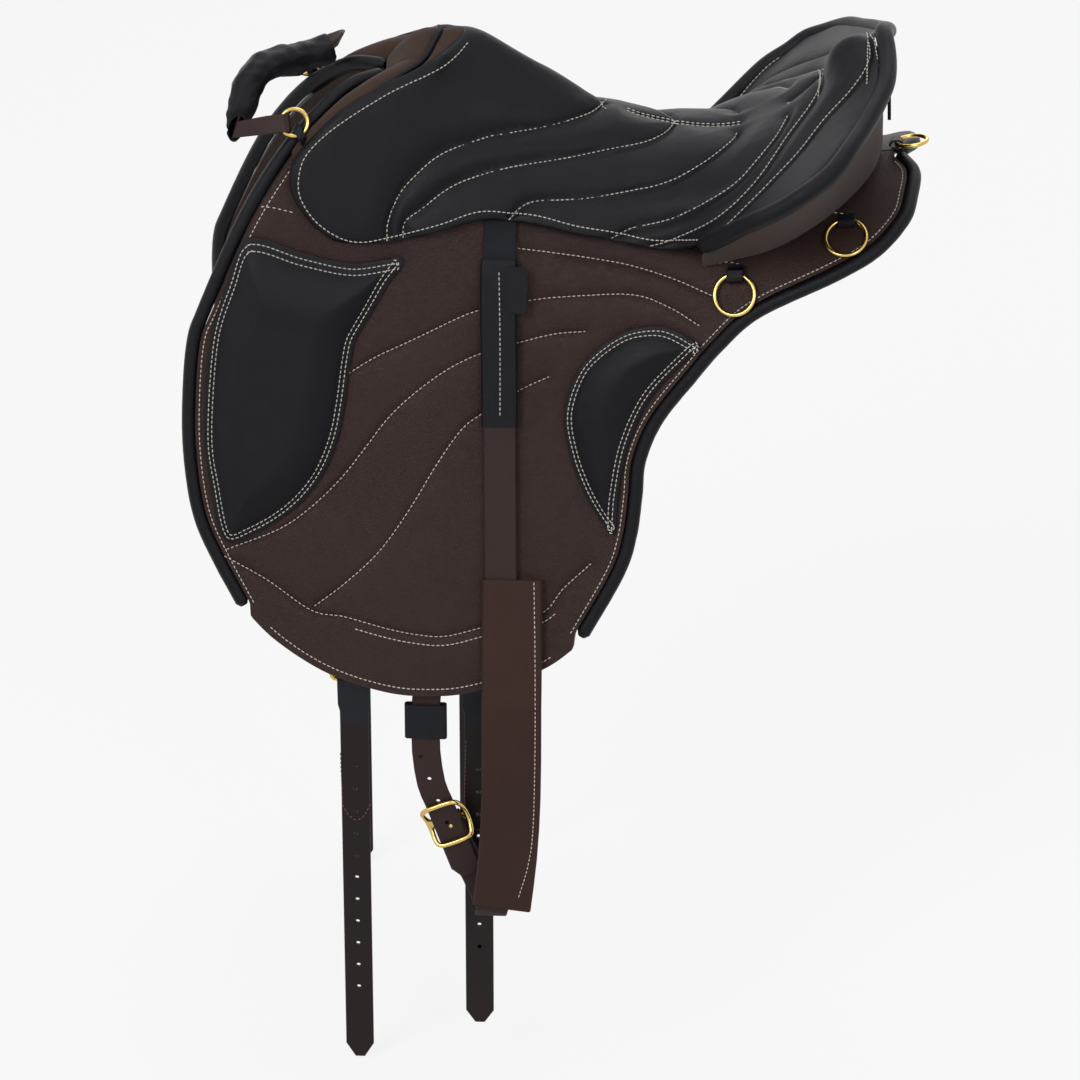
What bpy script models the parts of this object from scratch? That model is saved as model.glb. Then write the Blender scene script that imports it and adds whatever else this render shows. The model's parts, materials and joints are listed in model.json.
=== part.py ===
"""A treeless riding saddle: padded leather flaps on a flexible base, a quilted seat held up by a pommel
arch and a cantle wedge, stirrup leathers, girth billets, tie rings and a grab handle.

Frame: +X to the rear, -Y the near (left) side, +Z up, metres. The origin is on the spine line, at the
lowest point of the back that the saddle sits on. The near side is modelled, and the off side is its mirror.

Most pieces lie on the horse's back, so they are cut flat and then draped. A point of the drape is given
by x, by s (the distance from the spine measured down over the side) and by its height above the back.
"""

import math

import bmesh
import bpy
import numpy as np
from mathutils import Matrix, Vector
from mathutils.bvhtree import BVHTree
from mathutils.geometry import delaunay_2d_cdt

for old in list(bpy.data.objects):
    bpy.data.objects.remove(old)

# Driving dimensions of the back that the saddle is draped over.
PANEL_LENGTH = 0.644
PANEL_DROP = 0.498
FRONT_SHARE = 0.480
WITHERS_RADIUS = 0.075
LOIN_RADIUS = 0.220
SIDE_RADIUS = 0.200
SHOULDER_ANGLE = math.radians(48)
FLAP_SLOPE = math.radians(74)
WITHERS_RISE = 0.088
LOIN_RISE = 0.010
CREST_SPREAD = 0.170

# Thicknesses and clearances.
FIT = 0.0003
DRAPE_GAP = 0.0009
PAD_GAP = 0.0022
SEAT_GAP = 0.0040
LEATHER = 0.0025
FLAP_THICKNESS = 0.008
FLAP_PUFF = 0.0030
SEAT_REACH = 0.125
COVER_THICKNESS = 0.008
COVER_PUFF = 0.0030
STRAP_THICKNESS = 0.003
PANEL_THICKNESS = 0.024
KNEE_CROWN = 0.017
THIGH_CROWN = 0.0136
BLOCK_EDGE = 0.004
BINDING_RADIUS = 0.0062
RIM_RADIUS = 0.0068
PIPING_RADIUS = 0.0027

# Heights of the seat above the back.
POMMEL_HEIGHT = 0.067
CANTLE_HEIGHT = 0.132
CANTLE_HALF_WIDTH = 0.171
SEAT_EDGE_LIFT = 0.019

# Straps and metalwork.
LEATHER_WIDTH = 0.028
SLEEVE_WIDTH = 0.032
FENDER_WIDTH = 0.053
BILLET_WIDTH = 0.0255
BILLET_LENGTH = 0.375
HOLE_RADIUS = 0.0021
HOLE_PITCH = 0.0235
HOLE_COUNT = 11
RING_RADIUS = 0.0180
RING_WIRE = 0.0019
GRAB_RING_RADIUS = 0.0120
CRUPPER_RING_RADIUS = 0.0140
HANDLE_TUBE_RADIUS = 0.0150
OFF_LEAD = 0.028

# Mesh steps: how finely the cut pieces are divided, along the horse and down its side.
STEP_ALONG = 0.036
STEP_DOWN = 0.015
STEP_FLAT = 0.036
STEP_CORE = 0.020
STEP_COVER = 0.015

PANEL_FRONT = -FRONT_SHARE * PANEL_LENGTH
LOW_POINT = PANEL_FRONT + 0.728 * PANEL_LENGTH
FLARE_START = PANEL_FRONT + 0.449 * PANEL_LENGTH
FLARE_END = PANEL_FRONT + 0.977 * PANEL_LENGTH
WITHERS_X = PANEL_FRONT + 0.261 * PANEL_LENGTH
LOIN_X = PANEL_FRONT + 0.978 * PANEL_LENGTH
TINY = DRAPE_GAP / 10

UP = Vector((0, 0, 1))


def material(name, colour, roughness, metallic=0.0):
    made = bpy.data.materials.new(name)
    made.use_nodes = True
    shader = made.node_tree.nodes["Principled BSDF"]
    shader.inputs["Base Color"].default_value = (*colour, 1)
    shader.inputs["Roughness"].default_value = roughness
    shader.inputs["Metallic"].default_value = metallic
    return made


BLACK_LEATHER = material("black_leather", (0.011, 0.011, 0.014), 0.45)
BROWN_LEATHER = material("brown_leather", (0.040, 0.020, 0.017), 0.55)
STRAP_LEATHER = material("strap_leather", (0.055, 0.030, 0.027), 0.50)
BILLET_LEATHER = material("billet_leather", (0.035, 0.020, 0.021), 0.50)
FENDER_LEATHER = material("fender_leather", (0.045, 0.022, 0.013), 0.60)
NUBUCK = material("nubuck", (0.095, 0.052, 0.038), 0.85)
WEBBING = material("webbing", (0.010, 0.011, 0.018), 0.80)
FOAM = material("foam", (0.030, 0.030, 0.032), 0.90)
FELT = material("felt", (0.050, 0.048, 0.045), 0.95)
BRASS = material("brass", (0.55, 0.38, 0.11), 0.25, 1.0)

saddle = bpy.data.collections.new("treeless_saddle")
cutters = bpy.data.collections.new("cutters")
bpy.context.scene.collection.children.link(saddle)
bpy.context.scene.collection.children.link(cutters)


# The drape: the back's shape, and points on and above it.
def spine_radius(x):
    reach = max(0.0, (x - FLARE_START) / (FLARE_END - FLARE_START))
    return WITHERS_RADIUS + (LOIN_RADIUS - WITHERS_RADIUS) * reach**2


def crest(x):
    """Height of the spine line: it climbs to the withers in front and a little to the loin behind."""
    if x < LOW_POINT:
        return WITHERS_RISE * ((LOW_POINT - x) / (LOW_POINT - WITHERS_X)) ** 1.5
    return LOIN_RISE * ((x - LOW_POINT) / (LOIN_X - LOW_POINT)) ** 2


def across(x, s):
    """How far out and how far down the back has gone at s: round spine, wide curve, then straight side."""
    spine = spine_radius(x)
    shoulder = spine * SHOULDER_ANGLE
    side = shoulder + SIDE_RADIUS * (FLAP_SLOPE - SHOULDER_ANGLE)
    if s < shoulder:
        return spine * math.sin(s / spine), spine * (1 - math.cos(s / spine))
    angle = min(FLAP_SLOPE, SHOULDER_ANGLE + (s - shoulder) / SIDE_RADIUS)
    out = spine * math.sin(SHOULDER_ANGLE) + SIDE_RADIUS * (math.sin(angle) - math.sin(SHOULDER_ANGLE))
    down = spine * (1 - math.cos(SHOULDER_ANGLE)) + SIDE_RADIUS * (math.cos(SHOULDER_ANGLE) - math.cos(angle))
    straight = max(0.0, s - side)
    return out + straight * math.cos(FLAP_SLOPE), down + straight * math.sin(FLAP_SLOPE)


def on_back(x, s):
    out, down = across(x, s)
    fade = max(0.0, 1 - s / CREST_SPREAD) ** 1.5
    return Vector((x, -out, crest(x) * fade - down))


def back_normal(x, s):
    along = on_back(x + TINY, s) - on_back(x - TINY, s)
    low = max(0.0, s - TINY)
    if low == 0.0:
        return Vector((-along.z, 0, along.x)).normalized()
    over = on_back(x, s + TINY) - on_back(x, low)
    return over.cross(along).normalized()


def draped(x, s, height=0.0):
    """The near-side point at x and s, this far above the back. A negative s is on the off side."""
    point = on_back(x, abs(s)) + back_normal(x, abs(s)) * height
    if s < 0:
        point.y = -point.y
    return point


# Flat work: smooth outlines, and blanks cut from them.
def spline(points, steps, closed=False):
    """A Catmull-Rom curve through the points, with this many steps between each two."""
    count = len(points)
    made = []
    for i in range(count if closed else count - 1):
        if closed:
            a, b, c, d = (points[(i + k) % count] for k in (-1, 0, 1, 2))
        else:
            b, c = points[i], points[i + 1]
            a = points[i - 1] if i else [2 * p - q for p, q in zip(b, c)]
            d = points[i + 2] if i + 2 < count else [2 * q - p for p, q in zip(b, c)]
        for k in range(steps):
            t = k / steps
            made.append(
                tuple(
                    q + 0.5 * t * (r - p + t * (2 * p - 5 * q + 4 * r - w + t * (3 * (q - r) + w - p)))
                    for p, q, r, w in zip(a, b, c, d)
                )
            )
    return made if closed else made + [tuple(points[-1])]


def cut(shares):
    """Shares of the panel's length and drop, as x and s."""
    return [(PANEL_FRONT + along * PANEL_LENGTH, down * PANEL_DROP) for along, down in shares]


def inset(points, distance):
    """An open line moved to its left by this distance."""
    moved = []
    for i, here in enumerate(points):
        before, after = Vector(points[max(i - 1, 0)]), Vector(points[min(i + 1, len(points) - 1)])
        run = (after - before).normalized()
        moved.append((here[0] - run.y * distance, here[1] + run.x * distance))
    return moved


def distance_to(point, line):
    here = Vector(point)
    nearest = math.inf
    for a, b in zip(line, line[1:]):
        a, b = Vector(a), Vector(b)
        span = b - a
        t = min(1.0, max(0.0, (here - a).dot(span) / max(span.length_squared, TINY**2)))
        nearest = min(nearest, (here - a - span * t).length)
    return nearest


def inside(point, outline):
    x, y = point
    within = False
    for (ax, ay), (bx, by) in zip(outline, outline[1:] + outline[:1]):
        if (ay > y) != (by > y) and x < ax + (y - ay) / (by - ay) * (bx - ax):
            within = not within
    return within


def blank(outline, seams=(), step_x=STEP_ALONG, step_s=STEP_DOWN, flat_from=None):
    """A flat piece: its points and triangles, with the seams as edges. Past flat_from the drape is flat, so
    the points stand further apart there."""
    closed = []
    for here, after in zip(outline, outline[1:] + outline[:1]):
        parts = math.ceil((Vector(after) - Vector(here)).length / (1.2 * step_x))
        closed += [tuple(Vector(here).lerp(Vector(after), k / parts)) for k in range(parts)]
    outline = closed
    edges = [(i, (i + 1) % len(outline)) for i in range(len(outline))]
    points = list(outline)
    for seam in seams:
        start = len(points)
        points += seam
        edges += [(start + i, start + i + 1) for i in range(len(seam) - 1)]
    rim = outline + outline[:1]
    low = [min(p[k] for p in outline) for k in (0, 1)]
    high = [max(p[k] for p in outline) for k in (0, 1)]
    s = low[1]
    row = 0
    while s < high[1]:
        step = STEP_FLAT if flat_from is not None and s > flat_from else step_s
        x = low[0] + (row % 2) * step_x / 2
        while x < high[0]:
            here = (x, s)
            clear = min(step, step_x) * 0.6
            if inside(here, outline) and all(distance_to(here, line) > clear for line in [rim, *seams]):
                points.append(here)
            x += step_x
        s += step
        row += 1
    places, _, faces, *_ = delaunay_2d_cdt([Vector(p) for p in points], edges, [], 1, TINY)
    return [tuple(p) for p in places], [tuple(f) for f in faces]


def new_object(name, mesh, finish, owner=None):
    made = bpy.data.objects.new(name, mesh)
    mesh.materials.append(finish)
    (owner or saddle).objects.link(made)
    return made


def mesh_object(name, points, faces, finish, owner=None):
    """A body from points and faces, with its faces turned outwards."""
    mesh = bpy.data.meshes.new(name)
    mesh.from_pydata([tuple(p) for p in points], [], faces)
    work = bmesh.new()
    work.from_mesh(mesh)
    bmesh.ops.recalc_face_normals(work, faces=work.faces)
    work.to_mesh(mesh)
    work.free()
    mesh.shade_smooth()
    mesh.set_sharp_from_angle(angle=math.radians(35))
    return new_object(name, mesh, finish, owner)


def walled(name, upper, lower, faces, finish):
    """A closed body from an upper and a lower sheet that have the same faces."""
    count = len(upper)
    open_edges = {}
    for face in faces:
        for a, b in zip(face, face[1:] + face[:1]):
            if (b, a) in open_edges:
                del open_edges[(b, a)]
            else:
                open_edges[(a, b)] = True
    bottoms = [tuple(i + count for i in reversed(face)) for face in faces]
    walls = [(b, a, a + count, b + count) for a, b in open_edges]
    return mesh_object(name, upper + lower, faces + bottoms + walls, finish)


def sewn_body(name, cut_piece, under, over, finish):
    """A blank given thickness. under and over turn one of its points into a lower and an upper point."""
    flat, faces = cut_piece
    return walled(name, [over(*p) for p in flat], [under(*p) for p in flat], faces, finish)


def lofted(name, rings, finish, split=None, owner=None):
    """A body through rings of points. split is where each ring turns back, and caps join its two runs."""
    size = len(rings[0])
    points = [p for ring in rings for p in ring]
    faces = []
    for i in range(len(rings) - 1):
        for k in range(size):
            after = (k + 1) % size
            faces.append((i * size + k, i * size + after, (i + 1) * size + after, (i + 1) * size + k))
    for start in (0, (len(rings) - 1) * size):
        if split is None:
            faces.append(tuple(range(start, start + size)))
            continue
        for k in range(split - 1):
            corners = (k, k + 1, size - 2 - k, size - 1 - k)
            faces.append(tuple(start + c for c in dict.fromkeys(corners)))
    return mesh_object(name, points, faces, finish, owner)


def tube(name, points, radius, finish, sides=2, cyclic=False):
    """A round bar along a line, as a curve with a bevel."""
    curve = bpy.data.curves.new(name, "CURVE")
    curve.dimensions = "3D"
    curve.bevel_depth = radius
    curve.bevel_resolution = sides
    curve.use_fill_caps = True
    line = curve.splines.new("POLY")
    line.points.add(len(points) - 1)
    for target, place in zip(line.points, points):
        target.co = (*place, 1)
    line.use_cyclic_u = cyclic
    return new_object(name, curve, finish)


def baked(obj):
    """The object as a plain mesh, with its curve's caps welded."""
    graph = bpy.context.evaluated_depsgraph_get()
    graph.update()
    mesh = bpy.data.meshes.new_from_object(obj.evaluated_get(graph))
    work = bmesh.new()
    work.from_mesh(mesh)
    bmesh.ops.remove_doubles(work, verts=work.verts, dist=TINY)
    bmesh.ops.recalc_face_normals(work, faces=work.faces)
    work.to_mesh(mesh)
    work.free()
    name, place, owner = obj.name, obj.matrix_world.copy(), obj.users_collection[0]
    bpy.data.objects.remove(obj)
    made = bpy.data.objects.new(name, mesh)
    made.matrix_world = place
    owner.objects.link(made)
    return made


def joined(obj, other, operation="UNION"):
    """One body from two, or a cut, as a Boolean that is applied."""
    step = obj.modifiers.new(operation.lower(), "BOOLEAN")
    step.operation = operation
    step.object = other
    made = baked(obj)
    if operation == "UNION":
        bpy.data.objects.remove(other)
    return made


def section(width, thickness, across_dir, depth_dir, centre):
    """A strap's cross-section: eight points, a flat strap with eased edges."""
    half, thick = width / 2, thickness / 2
    ease = thick / 2
    corners = [
        (-half, ease - thick), (ease - half, -thick), (half - ease, -thick), (half, ease - thick),
        (half, thick - ease), (half - ease, thick), (ease - half, thick), (-half, thick - ease),
    ]
    return [centre + across_dir * a + depth_dir * b for a, b in corners]


def sleeve_body(name, rings, finish):
    """A sleeve open at both ends. Each ring is the points round its outside, then those round its inside."""
    size = len(rings[0])
    half = size // 2
    points = [p for one in rings for p in one]
    faces = []
    for i in range(len(rings) - 1):
        for k in range(size):
            after = k + 1 if (k + 1) % half else k + 1 - half
            faces.append((i * size + k, i * size + after, (i + 1) * size + after, (i + 1) * size + k))
    for start in (0, (len(rings) - 1) * size):
        for k in range(half):
            after = (k + 1) % half
            faces.append((start + k, start + after, start + half + after, start + half + k))
    return mesh_object(name, points, faces, finish)


def strap(name, stations, finish, owner=None):
    """A strap through stations of (centre, across, width, thickness)."""
    rings = []
    for i, (centre, side, width, thickness) in enumerate(stations):
        before = stations[max(i - 1, 0)][0]
        after = stations[min(i + 1, len(stations) - 1)][0]
        run = (after - before).normalized()
        side = (side - run * side.dot(run)).normalized()
        rings.append(section(width, thickness, side, run.cross(side), centre))
    return lofted(name, rings, finish, split=4, owner=owner)


def ring(name, centre, axis, radius, wire, finish=BRASS, segments=20):
    bpy.ops.mesh.primitive_torus_add(
        major_segments=segments, minor_segments=6, major_radius=radius, minor_radius=wire
    )
    made = bpy.context.object
    made.name = name
    made.data.name = name
    made.data.materials.append(finish)
    made.data.shade_smooth()
    for owner in list(made.users_collection):
        owner.objects.unlink(made)
    saddle.objects.link(made)
    turn = Vector((0, 0, 1)).rotation_difference(axis)
    made.matrix_world = Matrix.Translation(centre) @ turn.to_matrix().to_4x4()
    return made


PIVOTS = {}
LED_PIVOTS = ("stirrup_pivot", "front_billet_pivot", "rear_billet_pivot")


def hung_on(pivot, place, *pieces):
    """Parents pieces to an empty on their joint's axis."""
    if pivot not in PIVOTS:
        made = bpy.data.objects.new(pivot, None)
        made.location = place
        made.empty_display_size = RING_RADIUS
        saddle.objects.link(made)
        PIVOTS[pivot] = made
    bpy.context.view_layer.update()
    for piece in pieces:
        piece.parent = PIVOTS[pivot]
        piece.matrix_parent_inverse = PIVOTS[pivot].matrix_world.inverted()


def led(point):
    """A point of the near side moved forward to the off side's place, up with the rise of the back there."""
    low, high = 0.0, CREST_SPREAD
    while high - low > FIT:
        middle = (low + high) / 2
        if across(point.x, middle)[0] < abs(point.y):
            low = middle
        else:
            high = middle
    fade = (1 - low / CREST_SPREAD) ** 1.5
    climb = crest(point.x - OFF_LEAD) - crest(point.x)
    return Vector((point.x - OFF_LEAD, point.y, point.z + climb * fade))


def both_sides(piece, pivot=None, place=None, leads=False):
    """The near piece and its mirrored copy on the off side, each hung on its own pivot if it moves. The off
    side's hanging straps are fixed a little further forward."""
    near = baked(piece)
    off_place = place
    mesh = near.data.copy()
    mesh.transform(near.matrix_world)
    if leads or pivot in LED_PIVOTS:
        off_place = led(place) if place else None
        for vertex in mesh.vertices:
            vertex.co = led(vertex.co)
    mesh.transform(Matrix.Scale(-1, 4, (0, 1, 0)))
    mesh.flip_normals()
    off = bpy.data.objects.new(near.name.replace("near", "off"), mesh)
    saddle.objects.link(off)
    if pivot:
        hung_on("near_" + pivot, place, near)
        hung_on("off_" + pivot, Vector((off_place.x, -off_place.y, off_place.z)), off)
    return near, off


# The flap: one padded leather panel a side, from the spine to the bottom of the flap. Its front and rear
# edges carry a padded binding, and its bottom edge is left raw.
FRONT_EDGE_SHARES = [
    (0.262, 0.004), (0.222, 0.032), (0.183, 0.072), (0.125, 0.137), (0.073, 0.211), (0.023, 0.309),
    (0.006, 0.371), (0.000, 0.490), (0.003, 0.588), (0.016, 0.685), (0.042, 0.763), (0.078, 0.849),
]
REAR_EDGE_SHARES = [
    (0.980, 0.004), (1.000, 0.060), (0.997, 0.125), (0.986, 0.182), (0.949, 0.243), (0.893, 0.283),
    (0.790, 0.331), (0.741, 0.380), (0.705, 0.432), (0.660, 0.504), (0.638, 0.572), (0.634, 0.633),
    (0.627, 0.709), (0.610, 0.779), (0.561, 0.893),
]
BOTTOM_EDGE_SHARES = [
    (0.085, 0.847), (0.132, 0.906), (0.202, 0.962), (0.281, 0.994), (0.343, 1.000), (0.404, 0.990),
    (0.498, 0.948), (0.555, 0.896),
]
KNEE_ROLL_SHARES = [
    (0.092, 0.230), (0.169, 0.241), (0.235, 0.248), (0.301, 0.238),
    (0.277, 0.279), (0.241, 0.349), (0.232, 0.392),
    (0.225, 0.464), (0.214, 0.538), (0.191, 0.608), (0.154, 0.665),
    (0.103, 0.709), (0.060, 0.722), (0.041, 0.624),
    (0.032, 0.528), (0.041, 0.357), (0.064, 0.279),
]
THIGH_BLOCK_SHARES = [
    (0.712, 0.371), (0.674, 0.339), (0.643, 0.331), (0.606, 0.339),
    (0.567, 0.371), (0.541, 0.412), (0.525, 0.482),
    (0.534, 0.554), (0.555, 0.624), (0.582, 0.681), (0.598, 0.700),
    (0.602, 0.631), (0.615, 0.540), (0.645, 0.456),
    (0.700, 0.384),
]
FORWARD_SEAM_SHARES = [
    (0.230, 0.418), (0.264, 0.390), (0.309, 0.361), (0.368, 0.323), (0.409, 0.303), (0.471, 0.287),
    (0.528, 0.279), (0.614, 0.277), (0.666, 0.301), (0.707, 0.335),
]
KNEE_SEAM_SHARES = [
    (0.551, 0.337), (0.510, 0.341), (0.461, 0.357), (0.409, 0.378), (0.364, 0.408), (0.319, 0.452),
    (0.283, 0.498), (0.250, 0.556), (0.218, 0.610), (0.177, 0.663), (0.134, 0.703), (0.064, 0.741),
]
MIDDLE_SEAM_SHARES = [
    (0.502, 0.418), (0.463, 0.442), (0.409, 0.488), (0.382, 0.518), (0.350, 0.580), (0.323, 0.641),
    (0.297, 0.695), (0.267, 0.747), (0.225, 0.799), (0.185, 0.840),
]
BAND_SEAM_SHARES = [
    (0.061, 0.755), (0.118, 0.795), (0.180, 0.849), (0.225, 0.859), (0.281, 0.878), (0.323, 0.888),
    (0.365, 0.890), (0.419, 0.871), (0.496, 0.845), (0.527, 0.799), (0.564, 0.755),
]
SEAT_SEAM_SHARES = [
    (0.458, 0.210), (0.499, 0.212), (0.556, 0.218), (0.614, 0.230), (0.673, 0.255), (0.728, 0.289),
]

front_edge = spline(cut(FRONT_EDGE_SHARES), 2)
rear_edge = spline(cut(REAR_EDGE_SHARES), 2)
bottom_edge = spline(cut(BOTTOM_EDGE_SHARES), 2)
BINDING_WIDTH = 2 * BINDING_RADIUS + FIT
front_cut = inset(front_edge, -BINDING_WIDTH)
rear_cut = inset(rear_edge, BINDING_WIDTH)
at_spine = DRAPE_GAP / 2
slant = (front_cut[0][1] - at_spine) / (front_cut[1][1] - front_cut[0][1])
front_corner = (front_cut[0][0] - (front_cut[1][0] - front_cut[0][0]) * slant, at_spine)
rear_corner = (rear_cut[0][0], at_spine)
flap_outline = [front_corner, *front_cut, *bottom_edge, *reversed(rear_cut), rear_corner]

knee_outline = spline(cut(KNEE_ROLL_SHARES), 2, True)
thigh_outline = spline(cut(THIGH_BLOCK_SHARES), 2, True)
flap_seams = [
    spline(cut(shares), 1)
    for shares in (
        FORWARD_SEAM_SHARES,
        KNEE_SEAM_SHARES,
        MIDDLE_SEAM_SHARES,
        BAND_SEAM_SHARES,
        SEAT_SEAM_SHARES,
    )
]
block_lines = [knee_outline + knee_outline[:1], thigh_outline + thigh_outline[:1]]
flat_rear = PANEL_FRONT + PANEL_LENGTH * 0.74


def flap_top(x, s):
    """Height of the flap's face: padded between the seams, and flat under the seat and the blocks."""
    here = (x, s)
    if x > flat_rear or s < SEAT_REACH or inside(here, knee_outline) or inside(here, thigh_outline):
        return FLAP_THICKNESS
    lines = [flap_outline + flap_outline[:1], *flap_seams, *block_lines]
    nearest = min(distance_to(here, line) for line in lines)
    return FLAP_THICKNESS + FLAP_PUFF * min(1.0, nearest / STEP_DOWN)


flap_blank = blank(flap_outline, flap_seams + [line[:-1] for line in block_lines], flat_from=PANEL_DROP / 3)
both_sides(
    sewn_body(
        "flap_near",
        flap_blank,
        lambda x, s: draped(x, s),
        lambda x, s: draped(x, s, flap_top(x, s)),
        BROWN_LEATHER,
    )
)
front_line = inset(front_edge, -BINDING_RADIUS)
rear_line = inset(rear_edge, BINDING_RADIUS)
front_line = [draped(*p, FLAP_THICKNESS / 2) for p in front_line]
rear_line = [draped(*p, FLAP_THICKNESS / 2) for p in rear_line]
both_sides(tube("front_binding_near", front_line, BINDING_RADIUS, BLACK_LEATHER))
both_sides(tube("rear_binding_near", rear_line, BINDING_RADIUS, BLACK_LEATHER))


# Knee roll and thigh block: padded black blocks sewn on the flap, highest away from their edges.
def block(name, outline, crown):
    rim = outline + outline[:1]

    def over(x, s):
        reach = min(1.0, distance_to((x, s), rim) / STEP_FLAT)
        swell = math.sin(reach * math.pi / 2)
        return draped(x, s, block_seat + BLOCK_EDGE + (crown - BLOCK_EDGE) * swell)

    flat = blank(outline, step_x=STEP_DOWN, flat_from=PANEL_DROP / 3)
    both_sides(sewn_body(name, flat, lambda x, s: draped(x, s, block_seat), over, BLACK_LEATHER))


block_seat = FLAP_THICKNESS + DRAPE_GAP
block("knee_roll_near", knee_outline, KNEE_CROWN)
block("thigh_block_near", thigh_outline, THIGH_CROWN)

# Underside panels: one thick pad a side, leaving the gullet free along the spine.
PANEL_SHARES = [
    (0.22, 0.10), (0.24, 0.23), (0.32, 0.30), (0.60, 0.305), (0.84, 0.27), (0.93, 0.20), (0.95, 0.11),
    (0.90, 0.07), (0.60, 0.055), (0.30, 0.06),
]
pad_outline = spline(cut(PANEL_SHARES), 3, True)
pad_rim = pad_outline + pad_outline[:1]


def pad_under(x, s):
    reach = min(1.0, distance_to((x, s), pad_rim) / STEP_FLAT)
    return draped(x, s, -PAD_GAP - PANEL_THICKNESS * (1 + 2 * math.sin(reach * math.pi / 2)) / 3)


both_sides(
    sewn_body("panel_near", blank(pad_outline), pad_under, lambda x, s: draped(x, s, -PAD_GAP), FELT)
)


# The seat. Its edge is tied to the drape in front and at the waist, and to the cantle's rim behind.
SEAT_EDGE_SHARES = [
    (0.322, 0.014, 2.95), (0.292, 0.034, 2.58), (0.263, 0.052, 2.21), (0.232, 0.070, 1.84),
    (0.199, 0.096, 1.53), (0.160, 0.131, 1.16), (0.148, 0.159, 1.05), (0.152, 0.185, 0.95),
    (0.176, 0.209, 0.95), (0.211, 0.227, 0.95), (0.281, 0.221, 0.95), (0.351, 0.199, 0.95),
    (0.402, 0.177, 1.00), (0.444, 0.173, 1.05), (0.482, 0.175, 1.11), (0.536, 0.185, 1.16),
    (0.587, 0.193, 1.21), (0.643, 0.207, 1.32), (0.683, 0.213, 1.47),
]
RIM_SHARES = [
    (0.707, 0.789, -0.136), (0.732, 0.854, -0.038), (0.758, 0.912, 0.076), (0.787, 0.982, 0.189),
    (0.817, 1.000, 0.280), (0.840, 1.012, 0.371), (0.864, 0.965, 0.439), (0.884, 0.906, 0.508),
    (0.901, 0.807, 0.583), (0.916, 0.684, 0.636), (0.930, 0.561, 0.697), (0.941, 0.444, 0.750),
    (0.950, 0.322, 0.811), (0.950, 0.158, 0.894), (0.946, 0.055, 0.955), (0.944, 0.000, 0.970),
]
CENTRE_SEAM_SHARES = [
    (0.407, 1.07, 0), (0.475, 0.86, 0), (0.570, 0.67, 0), (0.617, 0.61, 0), (0.665, 0.55, 0),
    (0.705, 0.33, 0.09), (0.750, 0.15, 0.16), (0.783, 0, 0.277), (0.819, 0, 0.379), (0.840, 0, 0.53),
    (0.860, 0, 0.69), (0.872, 0, 0.80), (0.884, 0, 0.879), (0.902, 0, 0.93),
]
CHANNEL_SHARES = [
    [(0.549, 0.151), (0.500, 0.240), (0.442, 0.305), (0.350, 0.402), (0.294, 0.507)],
    [(0.651, 0.162), (0.578, 0.295), (0.520, 0.338), (0.410, 0.412), (0.329, 0.514)],
    [(0.460, 0.482), (0.540, 0.447), (0.598, 0.439), (0.657, 0.418), (0.707, 0.355), (0.741, 0.227)],
    [(0.612, 0.549), (0.696, 0.538), (0.747, 0.552), (0.776, 0.486), (0.803, 0.353), (0.817, 0.203)],
    [(0.674, 0.611), (0.728, 0.677), (0.776, 0.626), (0.818, 0.403), (0.847, 0.239), (0.858, 0.120)],
    [(0.751, 0.752), (0.797, 0.698), (0.834, 0.588), (0.867, 0.433), (0.904, 0.298), (0.925, 0.160)],
]
POMMEL_TIP_SHARES = (0.385, 1.02)
WAIST_THIN_SHARE = 0.31
CROWN_LOAD_SHARES = [(0.169, 5.80), (0.604, 10.30), (0.790, 0.64), (0.946, 0.64)]


def along_x(share):
    return PANEL_FRONT + share * PANEL_LENGTH


rim_line = [Vector((along_x(a), -out * CANTLE_HALF_WIDTH, up * CANTLE_HEIGHT)) for a, out, up in RIM_SHARES]
tip_x = along_x(POMMEL_TIP_SHARES[0])
tip = Vector((tip_x, 0, crest(tip_x) + POMMEL_TIP_SHARES[1] * POMMEL_HEIGHT))
edge_places = [(along_x(a), d * PANEL_DROP, lift * SEAT_EDGE_LIFT) for a, d, lift in SEAT_EDGE_SHARES]
front_rim = [draped(*place) for place in edge_places]
rim_gap = RIM_RADIUS + 2 * FIT
seat_rim = []
for i, here in enumerate(rim_line):
    run = rim_line[min(i + 1, len(rim_line) - 1)] - rim_line[max(i - 1, 0)]
    run.z = 0
    inward = Vector((0, 0, 1)).cross(run).normalized()
    if i == len(rim_line) - 1:
        inward = Vector((-1, 0, 0))
    seat_rim.append(here + inward * rim_gap + UP * FIT)
near_rim = [tip, *front_rim, *seat_rim[1:]]
off_rim = [Vector((p.x, -p.y, p.z)) for p in near_rim[1:-1]]
whole_rim = near_rim + off_rim[::-1]
centre_seam = [
    Vector((along_x(a), 0, crest(along_x(a)) + p * POMMEL_HEIGHT + c * CANTLE_HEIGHT))
    for a, p, c in CENTRE_SEAM_SHARES
]


def load_at(x):
    """How hard the padding pushes the cover up: most over the waist, hardly at all in the bowl."""
    share = (x - PANEL_FRONT) / PANEL_LENGTH
    load = CROWN_LOAD_SHARES[-1][1]
    for (low, load_low), (high, load_high) in zip(CROWN_LOAD_SHARES, CROWN_LOAD_SHARES[1:]):
        if share < high:
            load = load_low + (load_high - load_low) * max(0.0, share - low) / (high - low)
            break
    return load / PANEL_LENGTH


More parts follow.
